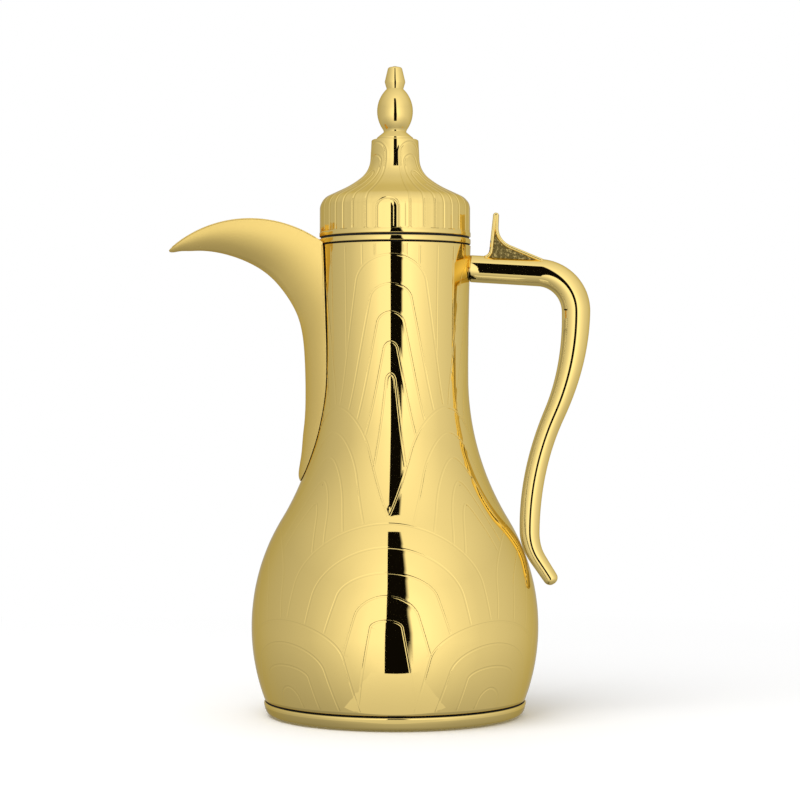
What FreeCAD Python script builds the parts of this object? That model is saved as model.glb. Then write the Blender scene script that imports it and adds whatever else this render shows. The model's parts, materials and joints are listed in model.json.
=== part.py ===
import FreeCAD, Part
import Sketcher
import math
import os
import re

# Dallah coffee pot with a double-walled flask and a screw lid.
# Millimetres, +Z up. The origin is on the pot's axis, on the plane it rests on.
# The spout points to -X and the handle to +X.

vector = FreeCAD.Vector
doc = FreeCAD.newDocument("Dallah")
sheet = doc.addObject("Spreadsheet::Sheet", "Dims")
layout = doc.addObject("App::VarSet", "Layout")
known = {}

driving = [
    # shell: bulb, waist and neck are three arcs that run into each other
    ("bulb_radius", 66.3),
    ("bulb_level", 40.8),
    ("bulb_arc", 95),
    ("waist_arc", 126.5),
    ("neck_radius", 33.95),
    ("neck_arc", 1680),
    ("shell_top", 216.4),
    ("shell_foot", 7.3),
    ("shell_wall", 0.7),
    ("skirt_tuck", 2.8),
    # flask inside the shell
    ("vacuum_gap", 5),
    ("flask_wall", 0.6),
    ("flask_floor", 14),
    ("flask_corner", 9),
    ("seat_depth", 35.4),
    ("seat_lip", 3),
    ("weld_gap", 0.1),
    ("floor_level", 3.8),
    ("floor_wall", 0.7),
    ("floor_rim", 3.2),
    ("getter_radius", 7),
    ("getter_height", 4),
    ("getter_wall", 0.6),
    # base cup and the soft ring under it
    ("base_height", 5.6),
    ("base_wall", 1),
    ("base_proud", 0.4),
    ("base_taper", 1.6),
    ("base_round", 1.5),
    ("base_edge", 0.35),
    ("base_fit", 0.2),
    ("recess_radius", 43),
    ("recess_rise", 1.1),
    ("pad_proud", 0.8),
    ("pad_inner", 45),
    ("pad_outer", 51),
    # ring on the neck
    ("ring_recess", 0.85),
    ("ring_inset", 0.5),
    ("ring_height", 2.35),
    ("ring_skirt", 9.9),
    ("ring_fit", 0.2),
    ("ring_wall", 2.5),
    ("ring_edge", 0.35),
    # pouring hole
    ("pour_radius", 8),
    ("pour_drop", 23.2),
    # lid
    ("gasket_height", 1),
    ("gasket_inset", 0.7),
    ("gasket_width", 2.3),
    ("dome_wall", 0.8),
    ("rim_height", 2),
    ("rim_proud", 0.3),
    ("rim_flange", 2.2),
    ("dome_side", 12.75),
    ("shoulder_arc", 6.86),
    ("shoulder_turn", 64.8),
    ("slope_length", 7.1),
    ("bell_arc", 42.6),
    ("bell_turn", 51.1),
    ("stem_arc", 11.9),
    ("stem_turn", 3),
    ("dome_height", 45.1),
    ("dome_round", 0.7),
    ("stud_hole", 2.75),
    ("core_fit", 0.3),
    ("core_flange", 3),
    ("core_column", 6),
    ("rib_height", 9),
    ("rib_reach", 29),
    ("rib_thickness", 2.4),
    ("rib_root", 1),
    ("rib_crown", 2),
    ("rib_count", 6),
    # stopper
    ("thread_fit", 0.4),
    ("thread_length", 13.6),
    ("thread_wall", 2.2),
    ("plate_thickness", 3),
    ("stem_radius", 22),
    ("stem_wall", 2),
    ("collar_radius", 27),
    ("collar_height", 2.6),
    ("seal_height", 2.5),
    ("seal_overlap", 2.1),
    ("cap_radius", 24),
    ("cap_depth", 9),
    ("cap_bevel", 2),
    ("cap_spigot", 8),
    ("plug_fit", 0.3),
    ("foam_bore", 8),
    # finial and its fastening
    ("collar_foot_radius", 8.45),
    ("collar_edge", 0.9),
    ("collar_rise", 3.6),
    ("finial_seat_radius", 5.2),
    ("egg_start_radius", 5.45),
    ("egg_start", 1),
    ("egg_level", 9.7),
    ("egg_radius", 8.3),
    ("egg_low_arc", 14.7),
    ("egg_high_arc", 14.3),
    ("waist_rise", 20),
    ("waist_radius", 3.85),
    ("tip_flare_rise", 23.2),
    ("tip_flare_radius", 4.8),
    ("tip_top_rise", 29.9),
    ("tip_top_radius", 3.2),
    ("tip_crown", 0.8),
    ("tip_top_round", 0.6),
    ("tip_flare_round", 0.4),
    ("stud_radius", 2.5),
    ("stud_fit", 0.05),
    ("stud_into_finial", 9),
    ("washer_radius", 6),
    ("washer_thickness", 1.2),
    ("nut_width", 8),
    ("nut_height", 4),
    ("stud_end", 1.5),
    # handle
    ("handle_drop", 10.4),
    ("handle_slope", 3.5),
    ("handle_reach", 49.65),
    ("bend_radius", 18),
    ("bow_share", 0.467),
    ("foot_rise", 44.2),
    ("foot_radius", 24),
    ("foot_turn", 33.4),
    ("foot_length", 13.3),
    ("grip_start", 6.25),
    ("grip_bend", 6.35),
    ("grip_bow", 6.55),
    ("grip_middle", 4.95),
    ("grip_low", 4.6),
    ("grip_foot", 3.75),
    ("grip_tip", 3.3),
    ("tip_round", 3.1),
    ("handle_sink", 0.45),
    ("handle_tuck", 2),
    # thumb rest
    ("thumb_width", 7.6),
    ("thumb_flat", 1.4),
    ("thumb_fit", 0.1),
    ("thumb_start", 7.6),
    ("thumb_length", 27),
    ("thumb_flare", 2.3),
    ("flare_rise", 2.9),
    ("flare_arc", 2.9),
    ("thumb_lean", 1.7),
    ("thumb_height", 20.3),
    ("thumb_top", 2.6),
    ("top_arc", 1.4),
    ("thumb_neck", 14.6),
    ("thumb_hook", 0.2),
    ("sweep_x", 11.8),
    ("sweep_z", 6.2),
    ("sweep_arc", 9),
    ("thumb_border", 1.2),
    ("thumb_recess", 1),
    ("hollow_lean", 0.8),
    ("hollow_back", 0.5),
    ("hollow_tail", 5),
    ("hollow_foot", 0.6),
    # spout: two arcs give its side view, one for the top edge and one for the keel
    ("beak_edge_offset", 33.4),
    ("beak_edge_drop", 47.6),
    ("beak_edge_arc", 60.2),
    ("beak_keel_offset", 54.6),
    ("beak_keel_drop", 48.9),
    ("beak_keel_arc", 46.3),
    ("beak_wall", 1.2),
    ("beak_floor_drop", 31.6),
    ("beak_keel_share", 0.5),
    ("tail_reach", 12),
    ("lid_clear", 0.45),
    # reach of the blocks that shape the spout
    ("cut_room", 100),
]

# stations along the spout, from the end of its tail to its lip
tail_sizes = ("drop", "half", "proud")
tail_line = [
    (59.6, 12.4, 0.75),
    (57.8, 13.5, 2.1),
    (53.5, 14.5, 3.45),
    (42.5, 15.5, 5.35),
    (22.5, 16.7, 7.25),
]
root_sizes = ("turn", "half", "deep")
root_line = [
    (0, 17.5, 20),
    (24, 16.4, 25),
]
beak_sizes = ("turn", "half", "lift")
beak_line = [
    (45, 14.8, 0),
    (62, 12.4, 0),
    (78, 9.4, 0.2),
    (92, 6.3, 1),
    (101, 4.1, 1.8),
    (106.5, 2.5, 2.55),
    (109, 1.3, 3),
    (110, 0.45, 3.6),
]


def bind(text):
    return re.sub(r"[a-z][a-z0-9_]*", lambda found: known.get(found.group(0), found.group(0)), text)


def number(text):
    return float(layout.evalExpression(bind(text)))


def add_stations(kind, sizes, line):
    # each station's sizes get cells of their own, such as beak_2_half
    for place, values in enumerate(line):
        for size, value in zip(sizes, values):
            driving.append(("%s_%d_%s" % (kind, place, size), value))


def fill_sheet():
    add_stations("tail", tail_sizes, tail_line)
    add_stations("root", root_sizes, root_line)
    add_stations("beak", beak_sizes, beak_line)
    for row, (name, value) in enumerate(driving, 1):
        sheet.set("A%d" % row, name)
        sheet.set("B%d" % row, str(value))
        sheet.setAlias("B%d" % row, name)
        known[name] = "Dims." + name
    doc.recompute()


def derive(name, text):
    layout.addProperty("App::PropertyFloat", name, "Layout")
    layout.setExpression(name, bind(text))
    known[name] = "Layout." + name


def shell_radius(level, inset="0"):
    # radius of the waist arc at a level, moved inward by inset
    return "(waist_centre - sqrt((waist_arc + %s)^2 - (waist_level - (%s))^2))" % (inset, level)


def neck_radius_at(level, inset="0"):
    return "(neck_radius + neck_arc - sqrt((neck_arc + %s)^2 - ((%s) - waist_level)^2))" % (inset, level)


def bulb_radius_at(level, inset="0"):
    return "(bulb_centre + sqrt((bulb_arc - (%s))^2 - (bulb_level - (%s))^2))" % (inset, level)


def work_out_shell():
    derive("bulb_centre", "bulb_radius - bulb_arc")
    derive("waist_centre", "neck_radius + waist_arc")
    derive("arc_sum", "bulb_arc + waist_arc")
    derive("waist_level", "bulb_level + sqrt(arc_sum^2 - (waist_centre - bulb_centre)^2)")
    derive("turn_cos", "(waist_centre - bulb_centre) / arc_sum")
    derive("turn_sin", "(waist_level - bulb_level) / arc_sum")
    derive("skirt_foot", "pad_proud + base_wall")
    derive("shell_foot_radius", bulb_radius_at("shell_foot"))
    derive("skirt_radius", "shell_foot_radius - skirt_tuck")
    derive("top_radius", neck_radius_at("shell_top"))
    derive("flask_inset", "shell_wall + vacuum_gap")
    derive("flask_inside", "flask_inset + flask_wall")
    derive("seat_level", "shell_top - seat_depth")
    derive("lip_radius", neck_radius_at("seat_level - flask_wall", "shell_wall") + " - weld_gap")
    derive("mouth_radius", "neck_radius - flask_inside")


def work_out_lid():
    derive("ring_foot", "shell_top + ring_recess")
    derive("ring_top", "ring_foot + ring_height")
    derive("skirt_end", "shell_top - ring_skirt")
    derive("ring_skirt_radius", neck_radius_at("skirt_end", "shell_wall") + " - ring_fit")
    derive("ring_bore", "ring_skirt_radius - ring_wall")
    derive("lid_foot", "ring_top + gasket_height")
    derive("rim_radius", "top_radius")
    derive("dome_radius", "rim_radius - rim_proud")
    derive("shoulder_level", "lid_foot + dome_side")
    derive("dome_r_one", "dome_radius - shoulder_arc * (1 - cos(shoulder_turn))")
    derive("dome_z_one", "shoulder_level + shoulder_arc * sin(shoulder_turn)")
    derive("dome_r_two", "dome_r_one - slope_length * sin(shoulder_turn)")
    derive("dome_z_two", "dome_z_one + slope_length * cos(shoulder_turn)")
    derive("dome_r_three", "dome_r_two - bell_arc * (cos(bell_turn) - cos(shoulder_turn))")
    derive("dome_z_three", "dome_z_two + bell_arc * (sin(shoulder_turn) - sin(bell_turn))")
    derive("dome_r_four", "dome_r_three - stem_arc * (cos(stem_turn) - cos(bell_turn))")
    derive("dome_z_four", "dome_z_three + stem_arc * (sin(bell_turn) - sin(stem_turn))")
    derive("dome_top", "lid_foot + dome_height")
    derive("dome_top_radius", "dome_r_four - (dome_top - dome_z_four) * tan(stem_turn)")
    derive("core_foot", "lid_foot + dome_wall")
    derive("thread_radius", "ring_bore - thread_fit")
    derive("plate_foot", "core_foot - plate_thickness")
    derive("thread_foot", "core_foot - thread_length")
    derive("seal_top", "seat_level + seal_height")
    derive("seal_radius", "mouth_radius + seal_overlap")
    derive("spigot_radius", "stem_radius - stem_wall - plug_fit")
    derive("spigot_top", "seat_level + cap_spigot")
    derive("finial_foot", "dome_top + collar_rise")


def work_out_handle():
    derive("handle_level", "shell_top - handle_drop")
    derive("bow_x", "neck_radius + handle_reach")
    derive("bend_centre_x", "bow_x - bend_radius")
    derive("bend_x", "bend_centre_x + bend_radius * sin(handle_slope)")
    derive("bend_z", "handle_level - (bend_x - neck_radius) * tan(handle_slope)")
    derive("bow_z", "bend_z - bend_radius * cos(handle_slope)")
    derive("low_z", "bulb_level + foot_rise")
    derive("foot_centre", "foot_radius + bulb_arc + grip_low - handle_sink")
    derive("low_x", "bulb_centre - foot_radius + sqrt(foot_centre^2 - foot_rise^2)")
    derive("bow_sum", "((bow_x - low_x)^2 + (bow_z - low_z)^2) / (2 * (bow_x - low_x))")
    derive("middle_x", "bow_x - (bow_x - low_x) * bow_share")
    derive("middle_z", "bow_z - (bow_z - low_z) * bow_share")
    derive("middle_turn", "asin((bow_z - low_z) / bow_sum)")
    derive("foot_x", "low_x + foot_radius * (1 - cos(foot_turn))")
    derive("foot_z", "low_z - foot_radius * sin(foot_turn)")
    derive("tip_x", "foot_x + foot_length * sin(foot_turn)")
    derive("tip_z", "foot_z - foot_length * cos(foot_turn)")
    derive("thumb_x", "neck_radius + thumb_start")
    derive("thumb_end", "thumb_x + thumb_length")
    derive("flat_drop", "(grip_start - thumb_flat) / cos(handle_slope)")
    derive("thumb_z", "handle_level - thumb_start * tan(handle_slope) + flat_drop")
    derive("thumb_end_z", "thumb_z - thumb_length * tan(handle_slope)")


def work_out_spout():
    derive("edge_x", "neck_radius + beak_edge_offset")
    derive("edge_z", "shell_top - beak_edge_drop")
    derive("keel_x", "neck_radius + beak_keel_offset")
    derive("keel_z", "shell_top - beak_keel_drop")
    derive("gap_x", "edge_x - keel_x")
    derive("gap_z", "keel_z - edge_z")


def arc_between(start, finish, radius, side):
    chord = finish - start
    across = vector(-chord.y, chord.x, 0)
    across.normalize()
    rise = math.sqrt(radius ** 2 - (chord.Length / 2) ** 2)
    centre = (start + finish) * 0.5 + across * (rise * side)
    first, last = (start, finish) if side > 0 else (finish, start)
    begin = math.atan2(first.y - centre.y, first.x - centre.x)
    end = math.atan2(last.y - centre.y, last.x - centre.x)
    if end < begin:
        end += 2 * math.pi
    return Part.ArcOfCircle(Part.Circle(centre, vector(0, 0, 1), radius), begin, end)


def draw(sketch, corners, closed=True):
    # a corner is (x, y), or (x, y, radius, side) where an arc leaves it
    spots = [vector(number(corner[0]), number(corner[1]), 0) for corner in corners]
    count = len(corners) if closed else len(corners) - 1
    edges = []
    ends = []
    for index in range(count):
        corner = corners[index]
        start = spots[index]
        finish = spots[(index + 1) % len(spots)]
        if len(corner) == 2:
            edges.append(Part.LineSegment(start, finish))
            ends.append((1, 2))
        else:
            edges.append(arc_between(start, finish, number(corner[2]), corner[3]))
            ends.append((1, 2) if corner[3] > 0 else (2, 1))
    first = sketch.GeometryCount
    sketch.addGeometry(edges, False)
    rules = []
    texts = []
    for index in range(count):
        edge = first + index
        rules.append(Sketcher.Constraint("DistanceX", -1, 1, edge, ends[index][0], spots[index].x))
        texts.append(corners[index][0])
        rules.append(Sketcher.Constraint("DistanceY", -1, 1, edge, ends[index][0], spots[index].y))
        texts.append(corners[index][1])
        if len(corners[index]) > 2:
            rules.append(Sketcher.Constraint("Radius", edge, number(corners[index][2])))
            texts.append(corners[index][2])
        if closed or index < count - 1:
            after = (index + 1) % count
            join = Sketcher.Constraint("Coincident", edge, ends[index][1], first + after, ends[after][0])
            rules.append(join)
            texts.append(None)
    if not closed:
        last = first + count - 1
        rules.append(Sketcher.Constraint("DistanceX", -1, 1, last, ends[-1][1], spots[-1].x))
        texts.append(corners[-1][0])
        rules.append(Sketcher.Constraint("DistanceY", -1, 1, last, ends[-1][1], spots[-1].y))
        texts.append(corners[-1][1])
    base = sketch.ConstraintCount
    sketch.addConstraint(rules)
    for index, text in enumerate(texts):
        if text is not None:
            sketch.setExpression("Constraints[%d]" % (base + index), bind(text))


def new_body(label):
    body = doc.addObject("PartDesign::Body", label)
    body.Label = label
    return body


def new_sketch(body, role, name):
    sketch = body.newObject("Sketcher::SketchObject", name)
    plane = [item for item in body.Origin.OriginFeatures if item.Role == role][0]
    sketch.AttachmentSupport = [(plane, "")]
    sketch.MapMode = "FlatFace"
    doc.recompute()
    return sketch


def ring_sketch(body, role, name, across, up, radius):
    sketch = new_sketch(body, role, name)
    circle = Part.Circle(vector(number(across), number(up), 0), vector(0, 0, 1), number(radius))
    sketch.addGeometry(circle, False)
    place_x = sketch.addConstraint(Sketcher.Constraint("DistanceX", -1, 1, 0, 3, number(across)))
    place_y = sketch.addConstraint(Sketcher.Constraint("DistanceY", -1, 1, 0, 3, number(up)))
    width = sketch.addConstraint(Sketcher.Constraint("Radius", 0, number(radius)))
    sketch.setExpression("Constraints[%d]" % place_x, bind(across))
    sketch.setExpression("Constraints[%d]" % place_y, bind(up))
    sketch.setExpression("Constraints[%d]" % width, bind(radius))
    return sketch


def turned(label, corners):
    body = new_body(label)
    sketch = new_sketch(body, "XZ_Plane", label + "_profile")
    draw(sketch, corners)
    turn = body.newObject("PartDesign::Revolution", label + "_turn")
    turn.Profile = sketch
    turn.ReferenceAxis = (sketch, ["V_Axis"])
    turn.Angle = 360
    sketch.Visibility = False
    doc.recompute()
    return body


def round_rims(body, rims):
    # each rim is (radius, level, rounding): a circular edge round the axis
    for radius, level, rounding in rims:
        base = body.Tip
        names = []
        for index, edge in enumerate(base.Shape.Edges, 1):
            curve = edge.Curve
            if not isinstance(curve, Part.Circle):
                continue
            if abs(curve.Radius - number(radius)) < 0.02 and abs(curve.Center.z - number(level)) < 0.02:
                names.append("Edge%d" % index)
        fillet = body.newObject("PartDesign::Fillet", body.Label + "_round")
        fillet.Base = (base, names)
        fillet.setExpression("Radius", bind(rounding))
        doc.recompute()


def turn_point(inset):
    # where the bulb's arc runs into the waist's, moved inward by inset: the two drawings meet there
    across = "bulb_centre + (bulb_arc - (%s)) * turn_cos" % inset
    up = "bulb_level + (bulb_arc - (%s)) * turn_sin" % inset
    return across, up


def shell_neck():
    body = turned("shell_neck", [
        ("top_radius", "shell_top", "neck_arc", 1),
        ("neck_radius", "waist_level", "waist_arc", 1),
        turn_point("0"),
        turn_point("shell_wall") + ("waist_arc + shell_wall", -1),
        ("neck_radius - shell_wall", "waist_level", "neck_arc + shell_wall", -1),
        (neck_radius_at("shell_top", "shell_wall"), "shell_top"),
    ])
    hole = ring_sketch(body, "YZ_Plane", "pour_hole", "0", "shell_top - pour_drop", "pour_radius")
    before = body.Shape.Volume
    pocket = body.newObject("PartDesign::Pocket", "pour_hole_cut")
    pocket.Profile = hole
    pocket.Type = "ThroughAll"
    doc.recompute()
    if body.Shape.CenterOfGravity.x < 0 or body.Shape.Volume >= before:
        pocket.Reversed = True
        doc.recompute()
    return body


def shell_bulb():
    return turned("shell_bulb", [
        turn_point("0") + ("bulb_arc", -1),
        ("shell_foot_radius", "shell_foot"),
        ("skirt_radius", "shell_foot"),
        ("skirt_radius", "skirt_foot"),
        ("skirt_radius - shell_wall", "skirt_foot"),
        ("skirt_radius - shell_wall", "shell_foot + shell_wall"),
        (bulb_radius_at("shell_foot + shell_wall", "shell_wall"), "shell_foot + shell_wall",
         "bulb_arc - shell_wall", 1),
        turn_point("shell_wall"),
    ])


def flask_neck():
    return turned("flask_neck", [
        ("lip_radius", "seat_level + seat_lip"),
        ("lip_radius", "seat_level - flask_wall"),
        ("neck_radius - flask_inset", "seat_level - flask_wall"),
        ("neck_radius - flask_inset", "waist_level", "waist_arc + flask_inset", 1),
        turn_point("flask_inset"),
        turn_point("flask_inside") + ("waist_arc + flask_inside", -1),
        ("mouth_radius", "waist_level"),
        ("mouth_radius", "seat_level"),
        ("lip_radius - flask_wall", "seat_level"),
        ("lip_radius - flask_wall", "seat_level + seat_lip"),
    ])


def flask_bulb():
    body = turned("flask_bulb", [
        turn_point("flask_inset") + ("bulb_arc - flask_inset", -1),
        (bulb_radius_at("flask_floor", "flask_inset"), "flask_floor"),
        ("0", "flask_floor"),
        ("0", "flask_floor + flask_wall"),
        (bulb_radius_at("flask_floor + flask_wall", "flask_inside"), "flask_floor + flask_wall",
         "bulb_arc - flask_inside", 1),
        turn_point("flask_inside"),
    ])
    round_rims(body, [
        (bulb_radius_at("flask_floor", "flask_inset"), "flask_floor", "flask_corner"),
        (bulb_radius_at("flask_floor + flask_wall", "flask_inside"), "flask_floor + flask_wall",
         "flask_corner - flask_wall"),
    ])
    return body


def shell_floor():
    return turned("shell_floor", [
        ("0", "floor_level"),
        ("skirt_radius - shell_wall - weld_gap", "floor_level"),
        ("skirt_radius - shell_wall - weld_gap", "floor_level + floor_rim"),
        ("skirt_radius - shell_wall - weld_gap - floor_wall", "floor_level + floor_rim"),
        ("skirt_radius - shell_wall - weld_gap - floor_wall", "floor_level + floor_wall"),
        ("0", "floor_level + floor_wall"),
    ])


def getter():
    return turned("getter", [
        ("0", "flask_floor - getter_height"),
        ("getter_radius", "flask_floor - getter_height"),
        ("getter_radius", "flask_floor"),
        ("getter_radius - getter_wall", "flask_floor"),
        ("getter_radius - getter_wall", "flask_floor - getter_height + getter_wall"),
        ("0", "flask_floor - getter_height + getter_wall"),
    ])


def base_ring():
    top = "pad_proud + base_height"
    rim = "shell_foot_radius + base_proud"
    foot = "shell_foot_radius + base_proud - base_taper"
    recess = "pad_proud + recess_rise"
    body = turned("base_ring", [
        ("skirt_radius + base_fit", top),
        (rim, top),
        (foot, "pad_proud"),
        ("recess_radius", "pad_proud"),
        ("recess_radius", recess),
        ("0", recess),
        ("0", recess + " + base_wall"),
        ("recess_radius + base_wall", recess + " + base_wall"),
        ("recess_radius + base_wall", "skirt_foot"),
        (foot + " - base_wall", "skirt_foot"),
        (rim + " - base_wall", top + " - base_wall"),
        ("skirt_radius + base_fit", top + " - base_wall"),
    ])
    round_rims(body, [(foot, "pad_proud", "base_round"), (rim, top, "base_edge")])
    return body


def base_pad():
    return turned("base_pad", [
        ("pad_inner", "0"),
        ("pad_outer", "0"),
        ("pad_outer", "pad_proud"),
        ("pad_inner", "pad_proud"),
    ])


def neck_ring():
    body = turned("neck_ring", [
        ("ring_bore", "ring_top"),
        ("rim_radius", "ring_top"),
        ("rim_radius", "ring_foot"),
        ("rim_radius - ring_inset", "ring_foot"),
        ("rim_radius - ring_inset", "shell_top"),
        ("ring_skirt_radius", "shell_top"),
        ("ring_skirt_radius", "skirt_end"),
        ("ring_bore", "skirt_end"),
    ])
    round_rims(body, [("rim_radius", "ring_top", "ring_edge"), ("rim_radius", "ring_foot", "ring_edge")])
    return body


def lid_dome():
    inner = "dome_radius - dome_wall"
    rim_top = "lid_foot + rim_height"
    wall = "dome_wall"
    body = turned("lid_dome", [
        ("rim_radius - dome_wall - rim_flange", "lid_foot"),
        ("rim_radius", "lid_foot"),
        ("rim_radius", rim_top),
        ("dome_radius", rim_top),
        ("dome_radius", "shoulder_level", "shoulder_arc", 1),
        ("dome_r_one", "dome_z_one"),
        ("dome_r_two", "dome_z_two", "bell_arc", -1),
        ("dome_r_three", "dome_z_three", "stem_arc", -1),
        ("dome_r_four", "dome_z_four"),
        ("dome_top_radius", "dome_top"),
        ("stud_hole", "dome_top"),
        ("stud_hole", "dome_top - dome_wall"),
        ("dome_top_radius - dome_wall", "dome_top - dome_wall"),
        ("dome_r_four - dome_wall * cos(stem_turn)", "dome_z_four - dome_wall * sin(stem_turn)",
         "stem_arc + dome_wall", 1),
        ("dome_r_three - dome_wall * cos(bell_turn)", "dome_z_three - dome_wall * sin(bell_turn)",
         "bell_arc + dome_wall", 1),
        ("dome_r_two - dome_wall * cos(shoulder_turn)", "dome_z_two - dome_wall * sin(shoulder_turn)"),
        ("dome_r_one - dome_wall * cos(shoulder_turn)", "dome_z_one - dome_wall * sin(shoulder_turn)",
         "shoulder_arc - dome_wall", -1),
        (inner, "shoulder_level"),
        (inner, "core_foot"),
        ("rim_radius - dome_wall - rim_flange", "core_foot"),
    ])
    round_rims(body, [
        ("dome_top_radius", "dome_top", "dome_round"),
        ("rim_radius", "lid_foot", "ring_edge"),
    ])
    return body


def lid_core():
    body = turned("lid_core", [
        ("stud_hole", "core_foot"),
        ("dome_radius - dome_wall - core_fit", "core_foot"),
        ("dome_radius - dome_wall - core_fit", "core_foot + core_flange"),
        ("core_column", "core_foot + core_flange"),
        ("core_column", "dome_top - dome_wall"),
        ("stud_hole", "dome_top - dome_wall"),
    ])
    sketch = new_sketch(body, "XZ_Plane", "rib_profile")
    draw(sketch, [
        ("core_column - rib_root", "core_foot + core_flange - rib_root"),
        ("rib_reach", "core_foot + core_flange - rib_root"),
        ("rib_reach", "core_foot + core_flange"),
        ("core_column + rib_crown", "core_foot + core_flange + rib_height"),
        ("core_column - rib_root", "core_foot + core_flange + rib_height"),
    ])
    rib = body.newObject("PartDesign::Pad", "rib")
    rib.Profile = sketch
    rib.SideType = "Symmetric"
    rib.setExpression("Length", bind("rib_thickness"))
    doc.recompute()
    ribs = body.newObject("PartDesign::PolarPattern", "ribs")
    ribs.Originals = [rib]
    axis = [item for item in body.Origin.OriginFeatures if item.Role == "Z_Axis"][0]
    ribs.Axis = (axis, [""])
    ribs.Angle = 360
    ribs.setExpression("Occurrences", bind("rib_count"))
    body.Tip = ribs
    doc.recompute()
    return body


def stopper():
    return turned("stopper", [
        ("stud_hole", "core_foot"),
        ("thread_radius", "core_foot"),
        ("thread_radius", "thread_foot"),
        ("thread_radius - thread_wall", "thread_foot"),
        ("thread_radius - thread_wall", "plate_foot"),
        ("stem_radius", "plate_foot"),
        ("stem_radius", "seal_top + collar_height"),
        ("collar_radius", "seal_top + collar_height"),
        ("collar_radius", "seal_top"),
        ("stem_radius - stem_wall", "seal_top"),
        ("stem_radius - stem_wall", "plate_foot"),
        ("stud_hole", "plate_foot"),
    ])


def stopper_cap():
    return turned("stopper_cap", [
        ("0", "seat_level - cap_depth"),
        ("cap_radius - cap_bevel", "seat_level - cap_depth"),
        ("cap_radius", "seat_level - cap_depth + cap_bevel"),
        ("cap_radius", "seat_level"),
        ("spigot_radius", "seat_level"),
        ("spigot_radius", "spigot_top"),
        ("0", "spigot_top"),
    ])


def stopper_foam():
    return turned("stopper_foam", [
        ("foam_bore", "spigot_top"),
        ("spigot_radius", "spigot_top"),
        ("spigot_radius", "plate_foot"),
        ("foam_bore", "plate_foot"),
    ])


def stopper_gasket():
    return turned("stopper_gasket", [
        ("spigot_radius + plug_fit", "seat_level"),
        ("seal_radius", "seat_level"),
        ("seal_radius", "seal_top"),
        ("spigot_radius + plug_fit", "seal_top"),
    ])


def lid_gasket():
    outer = "rim_radius - gasket_inset"
    return turned("lid_gasket", [
        (outer + " - gasket_width", "ring_top"),
        (outer, "ring_top"),
        (outer, "lid_foot"),
        (outer + " - gasket_width", "lid_foot"),
    ])


def finial_collar():
    return turned("finial_collar", [
        ("stud_hole", "dome_top"),
        ("collar_foot_radius", "dome_top"),
        ("collar_foot_radius", "dome_top + collar_edge"),
        ("finial_seat_radius", "finial_foot"),
        ("stud_hole", "finial_foot"),
    ])


def finial():
    body = turned("finial", [
        ("stud_radius + stud_fit", "finial_foot"),
        ("finial_seat_radius", "finial_foot"),
        ("egg_start_radius", "finial_foot + egg_start", "egg_low_arc", 1),
        ("egg_radius", "finial_foot + egg_level", "egg_high_arc", 1),
        ("waist_radius", "finial_foot + waist_rise"),
        ("tip_flare_radius", "finial_foot + tip_flare_rise"),
        ("tip_top_radius", "finial_foot + tip_top_rise"),
        ("0", "finial_foot + tip_top_rise + tip_crown"),
        ("0", "finial_foot + stud_into_finial"),
        ("stud_radius + stud_fit", "finial_foot + stud_into_finial"),
    ])
    round_rims(body, [
        ("tip_top_radius", "finial_foot + tip_top_rise", "tip_top_round"),
        ("tip_flare_radius", "finial_foot + tip_flare_rise", "tip_flare_round"),
    ])
    return body


def finial_stud():
    return turned("finial_stud", [
        ("0", "plate_foot - washer_thickness - nut_height - stud_end"),
        ("stud_radius", "plate_foot - washer_thickness - nut_height - stud_end"),
        ("stud_radius", "finial_foot + stud_into_finial"),
        ("0", "finial_foot + stud_into_finial"),
    ])


def stud_washer():
    return turned("stud_washer", [
        ("stud_hole", "plate_foot - washer_thickness"),
        ("washer_radius", "plate_foot - washer_thickness"),
        ("washer_radius", "plate_foot"),
        ("stud_hole", "plate_foot"),
    ])


def finial_nut():
    body = new_body("finial_nut")
    sketch = new_sketch(body, "XY_Plane", "nut_outline")
    reach = number("nut_width") / math.sqrt(3)
    corners = [vector(reach * math.cos(math.radians(60 * k)), reach * math.sin(math.radians(60 * k)), 0)
               for k in range(6)]
    sketch.addGeometry([Part.LineSegment(corners[k], corners[(k + 1) % 6]) for k in range(6)], False)
    for k in range(6):
        sketch.addConstraint(Sketcher.Constraint("Coincident", k, 2, (k + 1) % 6, 1))
    for k in range(1, 6):
        sketch.addConstraint(Sketcher.Constraint("Equal", 0, k))
    guide = sketch.addGeometry(Part.Circle(vector(0, 0, 0), vector(0, 0, 1), reach), True)
    sketch.addConstraint(Sketcher.Constraint("Coincident", guide, 3, -1, 1))
    for k in range(6):
        sketch.addConstraint(Sketcher.Constraint("PointOnObject", k, 1, guide))
    sketch.addConstraint(Sketcher.Constraint("PointOnObject", 0, 1, -1))
    width = sketch.addConstraint(Sketcher.Constraint("Radius", guide, reach))
    sketch.setExpression("Constraints[%d]" % width, bind("nut_width / sqrt(3)"))
    bore = sketch.addGeometry(Part.Circle(vector(0, 0, 0), vector(0, 0, 1), number("stud_radius")), False)
    sketch.addConstraint(Sketcher.Constraint("Coincident", bore, 3, -1, 1))
    size = sketch.addConstraint(Sketcher.Constraint("Radius", bore, number("stud_radius + stud_fit")))
    sketch.setExpression("Constraints[%d]" % size, bind("stud_radius + stud_fit"))
    sketch.setExpression("AttachmentOffset.Base.z", bind("plate_foot - washer_thickness - nut_height"))
    pad = body.newObject("PartDesign::Pad", "nut_pad")
    pad.Profile = sketch
    pad.setExpression("Length", bind("nut_height"))
    doc.recompute()
    return body


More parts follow.
